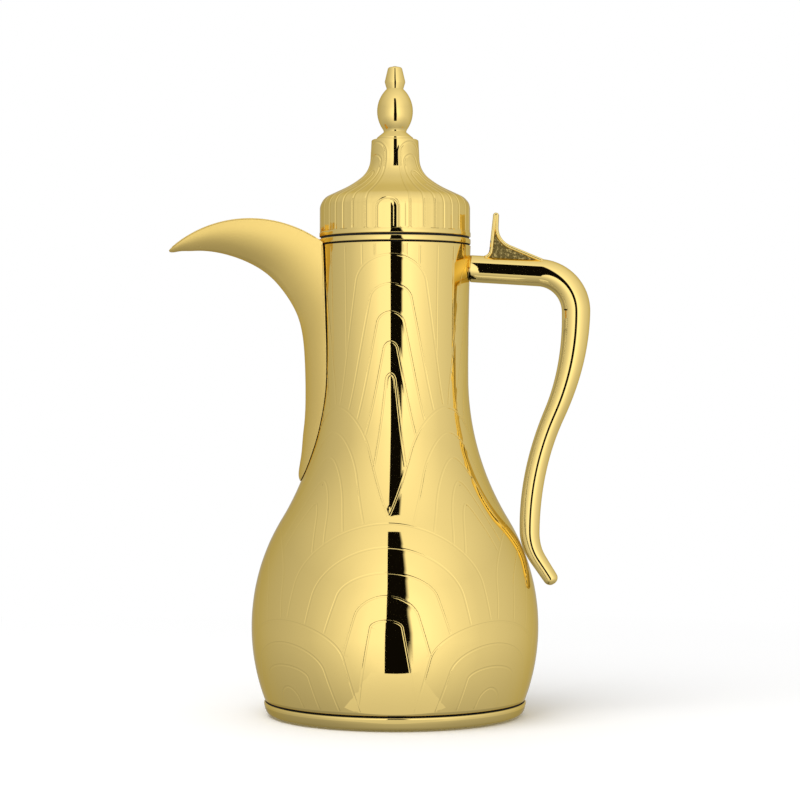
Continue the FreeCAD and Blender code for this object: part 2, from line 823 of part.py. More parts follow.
def handle_section(body, name, x, z, turn, radius):
    # a circle across the bar; turn is the direction of the bar, up from +X
    sketch = ring_sketch(body, "XY_Plane", name, "0", "0", radius)
    angle = number("90 - (%s)" % turn)
    place = FreeCAD.Placement(vector(number(x), 0, number(z)), FreeCAD.Rotation(vector(0, 1, 0), angle))
    sketch.AttachmentOffset = place
    sketch.setExpression("AttachmentOffset.Base.x", bind(x))
    sketch.setExpression("AttachmentOffset.Base.z", bind(z))
    sketch.setExpression("AttachmentOffset.Rotation.Angle", bind("90 - (%s)" % turn))
    doc.recompute()
    return sketch


def handle():
    body = new_body("handle")
    spine = new_sketch(body, "XZ_Plane", "handle_line")
    start_x = "neck_radius - handle_tuck"
    start_z = "handle_level + handle_tuck * tan(handle_slope)"
    draw(spine, [
        (start_x, start_z),
        ("bend_x", "bend_z", "bend_radius", -1),
        ("bow_x", "bow_z", "bow_sum * bow_share", -1),
        ("middle_x", "middle_z", "bow_sum * (1 - bow_share)", 1),
        ("low_x", "low_z", "foot_radius", 1),
        ("foot_x", "foot_z"),
        ("tip_x", "tip_z"),
    ], closed=False)
    doc.recompute()
    sections = [
        handle_section(body, "grip_0", start_x, start_z, "-handle_slope", "grip_start"),
        handle_section(body, "grip_1", "bend_x", "bend_z", "-handle_slope", "grip_bend"),
        handle_section(body, "grip_2", "bow_x", "bow_z", "-90", "grip_bow"),
        handle_section(body, "grip_3", "middle_x", "middle_z", "-90 - middle_turn", "grip_middle"),
        handle_section(body, "grip_4", "low_x", "low_z", "-90", "grip_low"),
        handle_section(body, "grip_5", "foot_x", "foot_z", "-90 + foot_turn", "grip_foot"),
        handle_section(body, "grip_6", "tip_x", "tip_z", "-90 + foot_turn", "grip_tip"),
    ]
    pipe = body.newObject("PartDesign::AdditivePipe", "handle_bar")
    pipe.Profile = sections[0]
    pipe.Spine = (spine, ["Edge%d" % k for k in range(1, 7)])
    pipe.Sections = [(item, [""]) for item in sections[1:]]
    pipe.Transformation = "Multisection"
    pipe.Mode = "Frenet"
    doc.recompute()
    # its two ends are shaped to the shell
    relief = new_sketch(body, "XZ_Plane", "handle_relief")
    draw(relief, shell_outline("bulb_level", "shell_top"))
    groove = body.newObject("PartDesign::Groove", "handle_seats")
    groove.Profile = relief
    groove.ReferenceAxis = (relief, ["V_Axis"])
    groove.Angle = 360
    doc.recompute()
    # flat for the thumb rest
    flat = new_sketch(body, "XZ_Plane", "thumb_flat_line")
    draw(flat, [
        ("thumb_x - thumb_fit", "thumb_z + thumb_fit * tan(handle_slope)"),
        ("thumb_end + thumb_fit", "thumb_end_z - thumb_fit * tan(handle_slope)"),
        ("thumb_end + thumb_fit", "thumb_end_z + grip_start"),
        ("thumb_x - thumb_fit", "thumb_z + grip_start"),
    ])
    cut = body.newObject("PartDesign::Pocket", "thumb_flat_cut")
    cut.Profile = flat
    cut.Type = "ThroughAll"
    cut.SideType = "Symmetric"
    doc.recompute()
    # round end
    tip = vector(number("tip_x"), 0, number("tip_z"))
    names = ["Edge%d" % k for k, edge in enumerate(cut.Shape.Edges, 1)
             if abs(edge.CenterOfMass.distanceToPoint(tip)) < 0.3]
    fillet = body.newObject("PartDesign::Fillet", "handle_tip")
    fillet.Base = (cut, names)
    fillet.setExpression("Radius", bind("tip_round"))
    doc.recompute()
    return body


def shell_outline(low, high):
    # what the shell takes up between two levels, with room for the weld
    return [
        ("0", low),
        (bulb_radius_at(low, "-weld_gap"), low, "bulb_arc + weld_gap", 1),
        turn_point("-weld_gap") + ("waist_arc - weld_gap", -1),
        ("neck_radius + weld_gap", "waist_level", "neck_arc - weld_gap", -1),
        (neck_radius_at(high, "-weld_gap"), high),
        ("0", high),
    ]


def thumb_rest():
    body = new_body("thumb_rest")
    outline = new_sketch(body, "XZ_Plane", "thumb_outline")
    draw(outline, [
        ("thumb_x", "thumb_z"),
        ("thumb_x", "thumb_z + thumb_flat", "flare_arc", 1),
        ("thumb_x + thumb_flare", "thumb_z + thumb_flat + flare_rise"),
        ("thumb_x + thumb_flare + thumb_lean", "thumb_z + thumb_height", "top_arc", -1),
        ("thumb_x + thumb_flare + thumb_lean + thumb_top", "thumb_z + thumb_height"),
        ("thumb_x + thumb_flare + thumb_lean + thumb_top - thumb_hook", "thumb_z + thumb_neck",
         "sweep_arc", 1),
        ("thumb_x + sweep_x", "thumb_z + sweep_z"),
        ("thumb_end", "thumb_end_z + thumb_flat"),
        ("thumb_end", "thumb_end_z"),
    ])
    pad = body.newObject("PartDesign::Pad", "thumb_plate")
    pad.Profile = outline
    pad.SideType = "Symmetric"
    pad.setExpression("Length", bind("thumb_width"))
    doc.recompute()
    hollow = new_sketch(body, "XZ_Plane", "thumb_hollow")
    left = "thumb_x + thumb_flare + thumb_border"
    draw(hollow, [
        (left, "thumb_z + thumb_flat + thumb_border"),
        (left + " + hollow_lean", "thumb_z + thumb_neck"),
        ("thumb_x + thumb_flare + thumb_lean + thumb_top - thumb_hook - thumb_border",
         "thumb_z + thumb_neck", "sweep_arc + thumb_border", 1),
        ("thumb_x + sweep_x - hollow_back", "thumb_z + sweep_z - thumb_border"),
        ("thumb_x + sweep_x + hollow_tail", "thumb_z + thumb_flat + hollow_foot"),
    ])
    hollow.setExpression("AttachmentOffset.Base.z", bind("thumb_width / 2"))
    before = body.Shape.Volume
    recess = body.newObject("PartDesign::Pocket", "thumb_recess_cut")
    recess.Profile = hollow
    recess.setExpression("Length", bind("thumb_recess"))
    doc.recompute()
    if body.Shape.Volume >= before - 1:
        recess.Reversed = True
        doc.recompute()
    both = body.newObject("PartDesign::Mirrored", "thumb_recess_pair")
    both.Originals = [recess]
    plane = [item for item in body.Origin.OriginFeatures if item.Role == "XZ_Plane"][0]
    both.MirrorPlane = (plane, [""])
    body.Tip = both
    doc.recompute()
    return body


def oval(name, inset):
    # four arcs: two sides and two small ends, with the keel at the lower end
    inner = name
    if inset != "0":
        inner = name + "_inside"
        derive(inner + "_deep", "%s_deep - %s" % (name, inset))
        derive(inner + "_half", "%s_half - %s" % (name, inset))
    deep = inner + "_deep"
    half = inner + "_half"
    derive(inner + "_end", "%s * beak_keel_share" % half)
    end = inner + "_end"
    derive(inner + "_side", "(%s^2 + %s^2 - 2 * %s * %s) / (2 * (%s - %s))"
           % (half, deep, deep, end, half, end))
    side = inner + "_side"
    derive(inner + "_up", "(%s - %s) * %s / (%s - %s)" % (deep, end, side, side, end))
    derive(inner + "_out", "%s * (%s - %s) / (%s - %s)" % (end, side, half, side, end))
    layout.recompute()
    sketch = doc.addObject("Sketcher::SketchObject", inner + "_oval")
    up = inner + "_up"
    out = inner + "_out"
    draw(sketch, [
        ("-" + up, "-" + out, end, -1),
        ("-" + up, out, side, -1),
        (up, out, end, -1),
        (up, "-" + out, side, -1),
    ])
    turn = number(name + "_turn")
    lean = FreeCAD.Rotation(vector(0, -1, 0), turn)
    sketch.Placement = FreeCAD.Placement(vector(number(name + "_x"), 0, number(name + "_z")), lean)
    sketch.setExpression("Placement.Base.x", bind(name + "_x"))
    sketch.setExpression("Placement.Base.z", bind(name + "_z"))
    return sketch


def place_beak(name):
    # the middle of the oval is on the top edge and its lower end on the keel
    turn = name + "_turn"
    ahead = "(cos(%s) * gap_x + sin(%s) * gap_z)" % (turn, turn)
    derive(name + "_reach", "sqrt(%s^2 - gap_x^2 - gap_z^2 + beak_edge_arc^2) - %s" % (ahead, ahead))
    derive(name + "_x", "cos(%s) * %s_reach - keel_x" % (turn, name))
    derive(name + "_z", "keel_z + sin(%s) * %s_reach" % (turn, name))
    derive(name + "_deep", "%s_reach - beak_keel_arc - %s_lift" % (name, name))


def place_root(name):
    turn = name + "_turn"
    derive(name + "_x", "cos(%s) * (beak_keel_arc + %s_deep) - keel_x" % (turn, name))
    derive(name + "_z", "keel_z + sin(%s) * (beak_keel_arc + %s_deep)" % (turn, name))


def place_tail(name):
    derive(name + "_turn", "0")
    derive(name + "_z", "keel_z - %s_drop" % name)
    derive(name + "_x", "tail_reach - %s" % shell_radius("keel_z - %s_drop" % name))
    derive(name + "_deep", "tail_reach + %s_proud" % name)


def loft(name, sections):
    item = doc.addObject("Part::Loft", name)
    item.Sections = sections
    item.Solid = True
    item.Ruled = False
    doc.recompute()
    return item


def cut_away(name, base, tool):
    item = doc.addObject("Part::Cut", name)
    item.Base = base
    item.Tool = tool
    doc.recompute()
    return item


def beak_top():
    # what lies above the top edge: a block without the cylinder that the edge follows
    block = doc.addObject("Part::Box", "beak_block")
    block.setExpression("Length", bind("keel_x + beak_keel_arc"))
    block.setExpression("Width", bind("cut_room"))
    block.setExpression("Height", bind("cut_room"))
    block.setExpression("Placement.Base.y", bind("-cut_room / 2"))
    block.setExpression("Placement.Base.x", bind("-keel_x - beak_keel_arc"))
    block.setExpression("Placement.Base.z", bind("edge_z"))
    drum = doc.addObject("Part::Cylinder", "beak_drum")
    drum.setExpression("Radius", bind("beak_edge_arc"))
    drum.setExpression("Height", bind("cut_room"))
    drum.Placement = FreeCAD.Placement(vector(0, 0, 0), FreeCAD.Rotation(vector(1, 0, 0), 90))
    drum.setExpression("Placement.Base.y", bind("cut_room / 2"))
    drum.setExpression("Placement.Base.x", bind("-edge_x"))
    drum.setExpression("Placement.Base.z", bind("edge_z"))
    return cut_away("beak_above", block, drum)


def pot_space():
    # what the pot and its lid take up behind the spout
    sketch = doc.addObject("Sketcher::SketchObject", "pot_outline")
    sketch.Placement = FreeCAD.Placement(vector(0, 0, 0), FreeCAD.Rotation(vector(1, 0, 0), 90))
    corners = shell_outline("bulb_level", "shell_top")
    corners.insert(-1, ("rim_radius + lid_clear", "shell_top"))
    corners.insert(-1, ("rim_radius + lid_clear", "shell_top + cut_room"))
    corners[-1] = ("0", "shell_top + cut_room")
    draw(sketch, corners)
    doc.recompute()
    space = doc.addObject("Part::Revolution", "pot_room")
    space.Source = sketch
    space.Axis = vector(0, 0, 1)
    space.Base = vector(0, 0, 0)
    space.Angle = 360
    space.Solid = True
    doc.recompute()
    return space


def beak_floor():
    # the tail stays solid below the pouring hole
    block = doc.addObject("Part::Box", "beak_floor_block")
    block.setExpression("Length", bind("keel_x"))
    block.setExpression("Width", bind("cut_room"))
    block.setExpression("Height", bind("cut_room"))
    block.setExpression("Placement.Base.y", bind("-cut_room / 2"))
    block.setExpression("Placement.Base.x", bind("-keel_x"))
    block.setExpression("Placement.Base.z", bind("shell_top - beak_floor_drop - cut_room"))
    return block


def spout():
    names = []
    for kind, place, line in (("tail", place_tail, tail_line), ("root", place_root, root_line),
                              ("beak", place_beak, beak_line)):
        for station in range(len(line)):
            name = "%s_%d" % (kind, station)
            place(name)
            names.append(name)
    layout.recompute()
    hull = loft("beak_hull", [oval(name, "0") for name in names])
    space = loft("beak_space", [oval(name, "beak_wall") for name in names[len(tail_line) - 1:-2]])
    channel = cut_away("beak_channel", space, beak_floor())
    trough = cut_away("beak_trough", hull, channel)
    open_top = cut_away("beak_open", trough, beak_top())
    item = cut_away("spout", open_top, pot_space())
    item.Label = "spout"
    return item


def set_up():
    fill_sheet()
    work_out_shell()
    doc.recompute()
    work_out_lid()
    work_out_handle()
    work_out_spout()
    doc.recompute()


set_up()
makers = [shell_neck, shell_bulb, flask_neck, flask_bulb, shell_floor, getter, base_ring, base_pad,
          neck_ring, spout, handle, thumb_rest, lid_dome, lid_core, stopper, stopper_cap, stopper_foam,
          stopper_gasket, lid_gasket, finial_collar, finial, finial_stud, stud_washer, finial_nut]
pieces = [make() for make in makers]
doc.recompute()
os.makedirs("parts", exist_ok=True)
for item in doc.Objects:
    if "Invalid" in item.State or "Error" in item.State:
        raise RuntimeError("%s: %s" % (item.Label, item.State))
for piece in pieces:
    if piece.Shape.isNull() or not piece.Shape.isValid() or len(piece.Shape.Solids) != 1:
        raise RuntimeError("%s has no sound single solid" % piece.Label)
    piece.Shape.exportStep("parts/%s.step" % piece.Label)
    box = piece.Shape.optimalBoundingBox()
    print(piece.Label, round(piece.Shape.Volume, 1),
          [round(v, 2) for v in (box.XMin, box.XMax, box.YMin, box.YMax, box.ZMin, box.ZMax)])
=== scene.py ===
import bpy
import bmesh
import json
from math import asin, ceil, cos, degrees, hypot, pi, radians, sin, sqrt, tan
from mathutils import Matrix, Vector


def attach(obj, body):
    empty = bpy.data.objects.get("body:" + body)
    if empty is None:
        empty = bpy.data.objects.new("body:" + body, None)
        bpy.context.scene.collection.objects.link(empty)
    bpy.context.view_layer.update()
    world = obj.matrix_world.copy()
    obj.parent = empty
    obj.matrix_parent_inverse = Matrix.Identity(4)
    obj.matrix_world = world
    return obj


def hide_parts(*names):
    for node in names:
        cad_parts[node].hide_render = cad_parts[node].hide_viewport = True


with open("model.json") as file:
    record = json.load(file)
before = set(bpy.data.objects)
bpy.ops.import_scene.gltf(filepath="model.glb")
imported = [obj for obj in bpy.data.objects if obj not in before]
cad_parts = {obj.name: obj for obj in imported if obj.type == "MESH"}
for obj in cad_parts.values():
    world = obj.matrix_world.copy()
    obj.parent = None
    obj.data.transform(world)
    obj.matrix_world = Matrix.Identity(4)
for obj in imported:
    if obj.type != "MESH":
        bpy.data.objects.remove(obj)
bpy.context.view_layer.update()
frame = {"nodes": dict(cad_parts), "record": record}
nodes = frame["nodes"]
scene = bpy.context.scene
print("frame loaded with", len(nodes), "nodes")


# finishes: one pattern gives each its colour, polish and grain

finishLook = {
    "gold_polished": {  # faint wiping marks, with a slow ripple under them
        "colour": (0.92, 0.70, 0.245, 1), "edge": (0.95, 0.82, 0.46, 1), "metal": 1,
        "noise": (60, 4), "rough": (0.015, 0.045), "ripple": (45, 1), "grain": (0.03, 0.0004),
    },
    "gold_satin": {
        "colour": (0.91, 0.67, 0.213, 1), "edge": (0.95, 0.80, 0.42, 1), "metal": 1,
        "noise": (900, 3), "rough": (0.22, 0.29), "grain": (0.12, 0.0002),
    },
    "gold_cast": {
        "dark": (0.17, 0.128, 0.042, 1), "bright": (0.85, 0.66, 0.25, 1), "ramp": (0.5, 0.75),
        "edge": (0.95, 0.80, 0.42, 1), "metal": 1,
        "noise": (900, 6), "rough": (0.22, 0.5), "grain": (0.9, 0.0008),
    },
    "plain_steel": {  # polishing lines run round the wall
        "colour": (0.66, 0.66, 0.65, 1), "metal": 1,
        "noise": (300, 3, (0.02, 0.02, 6)), "rough": (0.18, 0.36), "grain": (0.1, 0.0002),
    },
    "moulding": {
        "dark": (0.018, 0.018, 0.018, 1), "bright": (0.035, 0.034, 0.033, 1),
        "noise": (1400, 2), "rough": (0.38, 0.52), "grain": (0.15, 0.0002),
    },
    "foam": {
        "dark": (0.60, 0.50, 0.27, 1), "bright": (0.80, 0.71, 0.45, 1),
        "cells": 900, "rough": 0.9, "grain": (0.5, 0.0005),
    },
    "silicone": {
        "dark": (0.004, 0.004, 0.004, 1), "bright": (0.012, 0.012, 0.011, 1), "shine": 0.2,
        "noise": (250, 4), "rough": (0.6, 0.75), "grain": (0.08, 0.0003),
    },
    "joint_shade": {  # painted shade: near black and unpolished, it stands in for the shade deep in a joint
        "dark": (0.003, 0.0025, 0.0015, 1), "bright": (0.014, 0.011, 0.006, 1), "shine": 0.1,
        "noise": (500, 3), "rough": 0.8, "grain": (0.1, 0.0002),
    },
}


def newFinish(name):
    finish = bpy.data.materials.new(name)
    finish.use_nodes = True
    tree = finish.node_tree
    return finish, tree, tree.nodes["Principled BSDF"]


def objectPlace(tree):
    return tree.nodes.new("ShaderNodeTexCoord").outputs["Object"]


def noisePattern(tree, scale, detail, stretch=(1, 1, 1)):
    fit = tree.nodes.new("ShaderNodeMapping")
    fit.inputs["Scale"].default_value = stretch
    noise = tree.nodes.new("ShaderNodeTexNoise")
    noise.inputs["Scale"].default_value = scale
    noise.inputs["Detail"].default_value = detail
    tree.links.new(objectPlace(tree), fit.inputs["Vector"])
    tree.links.new(fit.outputs["Vector"], noise.inputs["Vector"])
    return noise.outputs["Fac"]


def cellPattern(tree, scale):
    cell = tree.nodes.new("ShaderNodeTexVoronoi")
    cell.inputs["Scale"].default_value = scale
    tree.links.new(objectPlace(tree), cell.inputs["Vector"])
    return cell.outputs["Distance"]


def spread(tree, value, low, high, start=0, end=1):  # what runs from start to end runs from low to high
    ramp = tree.nodes.new("ShaderNodeMapRange")
    for name, number in (("From Min", start), ("From Max", end), ("To Min", low), ("To Max", high)):
        ramp.inputs[name].default_value = number
    tree.links.new(value, ramp.inputs["Value"])
    return ramp.outputs["Result"]


def blendColours(tree, value, stops):
    ramp = tree.nodes.new("ShaderNodeValToRGB")
    elements = ramp.color_ramp.elements
    while len(elements) < len(stops):
        elements.new(0.5)
    for element, (position, colour) in zip(elements, stops):
        element.position = position
        element.color = colour
    tree.links.new(value, ramp.inputs["Fac"])
    return ramp.outputs["Color"]


def makeFinish(name, look):
    finish, tree, shader = newFinish(name)
    sockets = shader.inputs
    if "cells" in look:
        pattern = cellPattern(tree, look["cells"])
    else:
        pattern = noisePattern(tree, *look["noise"])
    if "colour" in look:
        sockets["Base Color"].default_value = look["colour"]
    else:
        stops = list(zip(look.get("ramp", (0, 1)), (look["dark"], look["bright"])))
        tree.links.new(blendColours(tree, pattern, stops), sockets["Base Color"])
    if isinstance(look["rough"], tuple):
        tree.links.new(spread(tree, pattern, *look["rough"]), sockets["Roughness"])
    else:
        sockets["Roughness"].default_value = look["rough"]
    for key, socket in (("edge", "Specular Tint"), ("metal", "Metallic"), ("shine", "Specular IOR Level")):
        if key in look:
            sockets[socket].default_value = look[key]
    bump = tree.nodes.new("ShaderNodeBump")
    bump.inputs["Strength"].default_value, bump.inputs["Distance"].default_value = look["grain"]
    height = noisePattern(tree, *look["ripple"]) if "ripple" in look else pattern
    tree.links.new(height, bump.inputs["Height"])
    tree.links.new(bump.outputs["Normal"], sockets["Normal"])
    return finish


finishes = {name: makeFinish(name, look) for name, look in finishLook.items()}
slotOf = {part["node"]: part["material_slot"] for part in frame["record"]["subparts"]}
for name, obj in nodes.items():
    obj.data.materials.clear()
    obj.data.materials.append(finishes[slotOf[name]])
for name in frame["record"]["behaviour"]["bodies"]["lid"]:
    nodes[name].visible_glossy = False  # the inside of the lid doesn't show in the polish
print("finishes set")


# drawing in millimetres: a line is drawn at y = 0 and turned round the pot's axis

def take(look, *keys):
    return [look[key] for key in keys]


def flat(point):
    return Vector((point[0], 0, point[1]))


def startLine(across, up):
    bm = bmesh.new()
    return bm, bm.verts.new((across, 0, up))


def only(kind, geom):
    return [item for item in geom if isinstance(item, kind)]


def arcTo(bm, last, centre, turn, steps):  # turn in degrees, from +X towards +Z
    swept = bmesh.ops.spin(bm, geom=[last], cent=(centre[0], 0, centre[1]), axis=(0, 1, 0),
                           angle=-radians(turn), steps=steps)
    return only(bmesh.types.BMVert, swept["geom_last"])[0]


def lineTo(bm, last, *steps):  # a step is a point (across, up), or (centre, turn, count) for an arc
    for step in steps:
        if len(step) == 3:
            last = arcTo(bm, last, *step)
        else:
            last = bmesh.ops.extrude_vert_indiv(bm, verts=[last])["verts"][0]
            last.co = flat(step)
    return last


def closeLine(bm, first, last):
    bmesh.ops.contextual_create(bm, geom=[first, last])


def closeSeams(bm, gap=0.0005):
    bmesh.ops.remove_doubles(bm, verts=bm.verts, dist=gap)
    bmesh.ops.recalc_face_normals(bm, faces=bm.faces)


def turnRound(bm, first, last, steps):
    closeLine(bm, first, last)
    bmesh.ops.spin(bm, geom=bm.verts[:] + bm.edges[:], cent=(0, 0, 0), axis=(0, 0, 1),
                   angle=2 * pi, steps=steps, use_merge=True)
    closeSeams(bm)


def turnBy(bm, turn, verts):  # degrees round the pot's axis
    bmesh.ops.rotate(bm, cent=(0, 0, 0), matrix=Matrix.Rotation(radians(turn), 3, "Z"), verts=verts)


def roundRim(bm, across, up, size, segments, near=0.01):
    def onRim(vert):
        return abs(vert.co.z - up) < near and abs(vert.co.xy.length - across) < near
    rim = [edge for edge in bm.edges if all(onRim(vert) for vert in edge.verts)]
    bmesh.ops.bevel(bm, geom=rim, offset=size, offset_type="OFFSET", affect="EDGES", segments=segments,
                    profile=0.5, material=-1, clamp_overlap=True)


def shadeJoint(bm, low, high):  # faces between two (radius, level) corners take the second finish, the joint's painted shade
    for face in bm.faces:
        place = face.calc_center_median()
        if low[0] <= place.xy.length <= high[0] and low[1] <= place.z <= high[1]:
            face.material_index = 1


def growEdges(bm, front):  # draws edges out and gives the new corners and edges
    grown = bmesh.ops.extrude_edge_only(bm, edges=front)["geom"]
    tips, edges = only(bmesh.types.BMVert, grown), only(bmesh.types.BMEdge, grown)
    return tips, [edge for edge in edges if all(vert in tips for vert in edge.verts)]


def startRow(bm, count):  # joined corners, placed later
    row = [bm.verts.new((0, 0, 0))]
    while len(row) < count:
        row.append(bmesh.ops.extrude_vert_indiv(bm, verts=[row[-1]])["verts"][0])
    return row


def closeEnds(bm, *ends):
    for end in ends:
        bmesh.ops.contextual_create(bm, geom=end)
    bmesh.ops.recalc_face_normals(bm, faces=bm.faces)


def joinMesh(bm, other):
    part = bpy.data.meshes.new("part")
    other.to_mesh(part)
    other.free()
    bm.from_mesh(part)
    bpy.data.meshes.remove(part)


def newObject(name, bm, *surfaces):
    mesh = bpy.data.meshes.new(name)
    bm.to_mesh(mesh)
    bm.free()
    for finish in surfaces:
        mesh.materials.append(finish)
    piece = bpy.data.objects.new(name, mesh)
    scene.collection.objects.link(piece)
    return piece


def makePiece(name, bm, body, replaced=(), slot="gold_polished", sharp=32, second=None, mirrored=True):
    bmesh.ops.scale(bm, vec=(0.001, 0.001, 0.001), verts=bm.verts)  # from millimetres to metres
    piece = newObject(name, bm, *[finishes[key] for key in (slot, second) if key])
    piece.data.shade_smooth()
    piece.data.set_sharp_from_angle(angle=radians(sharp))
    piece.visible_glossy = mirrored  # whether the other metal shows it
    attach(piece, body)
    if replaced:
        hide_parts(*replaced)


# shell of the pot

shellLook = {
    "top": 216.4, "foot": 7.3, "skirt": 57.4, "skirtFoot": 1.8, "wall": 0.7,
    "neck": 33.95, "neckArc": 1680, "waistLevel": 156.06, "waistArc": 126.5, "waistTurn": 31.357,
    "bulbCentre": -28.7, "bulbLevel": 40.8, "bulbArc": 95, "arcSteps": (20, 40, 60), "steps": 224,
    "hole": (8, 193.2), "edge": (0.25, 2), "joint": ((57.2, 1.8), (59.7, 7.4)),
}


def shellAt(level):  # radius of the shell and lean of its face
    look = shellLook
    if level > look["bulbLevel"] + look["bulbArc"] * sin(radians(look["waistTurn"])):
        rise = level - look["waistLevel"]
        arc = look["neckArc"] if rise > 0 else look["waistArc"]
        return look["neck"] + arc - sqrt(arc ** 2 - rise ** 2), -asin(rise / arc)
    rise = level - look["bulbLevel"]
    return look["bulbCentre"] + sqrt(look["bulbArc"] ** 2 - rise ** 2), asin(rise / look["bulbArc"])


def cutHole(bm, radius, level):  # round hole through the wall on the spout's side
    def fromMiddle(place):
        return hypot(place.y, place.z - level)
    centres = [(face, face.calc_center_median()) for face in bm.faces]
    inside = [face for face, place in centres if place.x < 0 and fromMiddle(place) < radius]
    bmesh.ops.delete(bm, geom=inside, context="FACES")
    rim = [edge for edge in bm.edges if edge.is_boundary]
    for vert in {vert for edge in rim for vert in edge.verts}:
        across, grow = vert.co.xy.length, radius / fromMiddle(vert.co)
        vert.co.y, vert.co.z = vert.co.y * grow, level + (vert.co.z - level) * grow
        vert.co.x = -sqrt(across ** 2 - vert.co.y ** 2)
    bmesh.ops.bridge_loops(bm, edges=rim)
    bmesh.ops.recalc_face_normals(bm, faces=bm.faces)


def shellPiece():
    look = shellLook
    wall, foot, skirt, skirtFoot, waistTurn = take(look, "wall", "foot", "skirt", "skirtFoot", "waistTurn")
    neckMid = (look["neck"] + look["neckArc"], look["waistLevel"])
    waistMid = (look["neck"] + look["waistArc"], look["waistLevel"])
    bulbMid = (look["bulbCentre"], look["bulbLevel"])
    neckTurn = degrees(asin((look["top"] - look["waistLevel"]) / look["neckArc"]))
    footTurn = degrees(asin((look["bulbLevel"] - foot) / look["bulbArc"]))
    insideTurn = degrees(asin((look["bulbLevel"] - foot - wall) / (look["bulbArc"] - wall)))
    inside = look["bulbCentre"] + (look["bulbArc"] - wall) * cos(radians(insideTurn))
    neckSteps, waistSteps, bulbSteps = look["arcSteps"]
    bm, first = startLine(shellAt(look["top"])[0], look["top"])
    last = lineTo(bm, first, (neckMid, neckTurn, neckSteps), (waistMid, waistTurn, waistSteps),
                  (bulbMid, -waistTurn - footTurn, bulbSteps), (skirt, foot), (skirt, skirtFoot),
                  (skirt - wall, skirtFoot), (skirt - wall, foot + wall), (inside, foot + wall),
                  (bulbMid, insideTurn + waistTurn, bulbSteps // 2), (waistMid, -waistTurn, waistSteps // 2),
                  (neckMid, -neckTurn, neckSteps // 2))
    turnRound(bm, first, last, look["steps"])
    cutHole(bm, *look["hole"])
    roundRim(bm, shellAt(foot)[0], foot, *look["edge"])
    # the shell's underside and skirt in the joint above the cup take joint_shade: painted shade in the groove
    shadeJoint(bm, *look["joint"])
    makePiece("pot_shell", bm, "pot", ("shell_neck", "shell_bulb"), second="joint_shade", mirrored=False)


shellPiece()


# engraved lines: a shallow channel between two low lips, along a path of (turn, level) on a turned surface

lineLook = {
    "section": [(0.22, 0.006), (0.4, 0.0065), (0.42, 0.0225), (0.6, 0.021)], "flank": (2.5, -0.006),
    "reach": 0.064, "root": -0.06, "end": -0.03, "step": 1.55,
}


def finePath(path, surface, step):
    fine = [path[0]]
    for before, after in zip(path, path[1:]):
        turning, rising = after[0] - before[0], after[1] - before[1]
        across, lean = surface((before[1] + after[1]) / 2)
        count = max(ceil(hypot(across * radians(turning), rising / cos(lean)) / step), 1)
        for part in range(1, count + 1):
            fine.append((before[0] + turning * part / count, before[1] + rising * part / count))
    return fine


def onSurface(surface, turn, level, height):
    across, lean = surface(level)
    outward = Vector((sin(radians(turn)), -cos(radians(turn)), 0))
    return outward * (across + height * cos(lean)) + Vector((0, 0, level + height * sin(lean)))


def addLine(pattern, route, surface, look, flank=None):
    path = finePath(route, surface, look["step"])
    half = look["section"] + [look["flank"]]
    corners = [(-side, height) for side, height in reversed(half)] + half + [(0, look["root"])]
    broad = look["flank"][0] if flank is None else min(flank, look["flank"][0])
    bm = bmesh.new()
    sideOf = bm.verts.layers.float.new("side")
    heightOf = bm.verts.layers.float.new("height")
    ring = startRow(bm, len(corners))
    closeLine(bm, ring[0], ring[-1])
    for vert, (side, height) in zip(ring, corners):
        vert[sideOf], vert[heightOf] = side, height

    def settle(verts, index):  # corners lie square to the path, at their heights
        turn, level = path[index]
        across, lean = surface(level)
        before, after = path[max(index - 1, 0)], path[min(index + 1, len(path) - 1)]
        sideways, rise = across * radians(after[0] - before[0]), (after[1] - before[1]) / cos(lean)
        length = hypot(sideways, rise)
        widest = min(broad, look["reach"] * across)
        for vert in verts:
            side, height = min(max(vert[sideOf], -widest), widest), vert[heightOf]
            if index in (0, len(path) - 1) and height > look["root"] / 2:
                height = look["end"]
            aside = degrees(side * rise / length / across)
            below = side * sideways / length * cos(lean)
            vert.co = onSurface(surface, turn + aside, level - below, height)

    settle(bm.verts, 0)
    front = bm.edges[:]
    bmesh.ops.contextual_create(bm, geom=front)
    for index in range(1, len(path)):
        tips, front = growEdges(bm, front)
        settle(tips, index)
    closeEnds(bm, front)
    joinMesh(pattern, bm)


def archWidth(arch, level):  # half angle at a level: a round shoulder, then legs that spread
    top, shoulder, height, spreading = arch
    drop = max(top - level, 0)
    share = 1 - min(drop, height) / height
    return shoulder * sqrt(1 - share ** 2) + spreading * drop


def archTop(arch, steps):  # one side of an arch's round shoulder, as (half angle, level)
    top, height = arch[0], arch[2]
    levels = [top - height * (1 - cos(radians(90 * step / steps))) for step in range(1, steps + 1)]
    return [(0, top)] + [(archWidth(arch, level), level) for level in levels]


def bothSides(half, middle):
    return ([(middle - width, level) for width, level in reversed(half)]
            + [(middle + width, level) for width, level in half[1:]])


def repeatRound(pattern, turn):  # the same lines on four sides
    bmesh.ops.spin(pattern, geom=pattern.verts[:] + pattern.edges[:] + pattern.faces[:], cent=(0, 0, 0),
                   axis=(0, 0, 1), angle=1.5 * pi, steps=3, use_duplicate=True)
    turnBy(pattern, turn, pattern.verts)


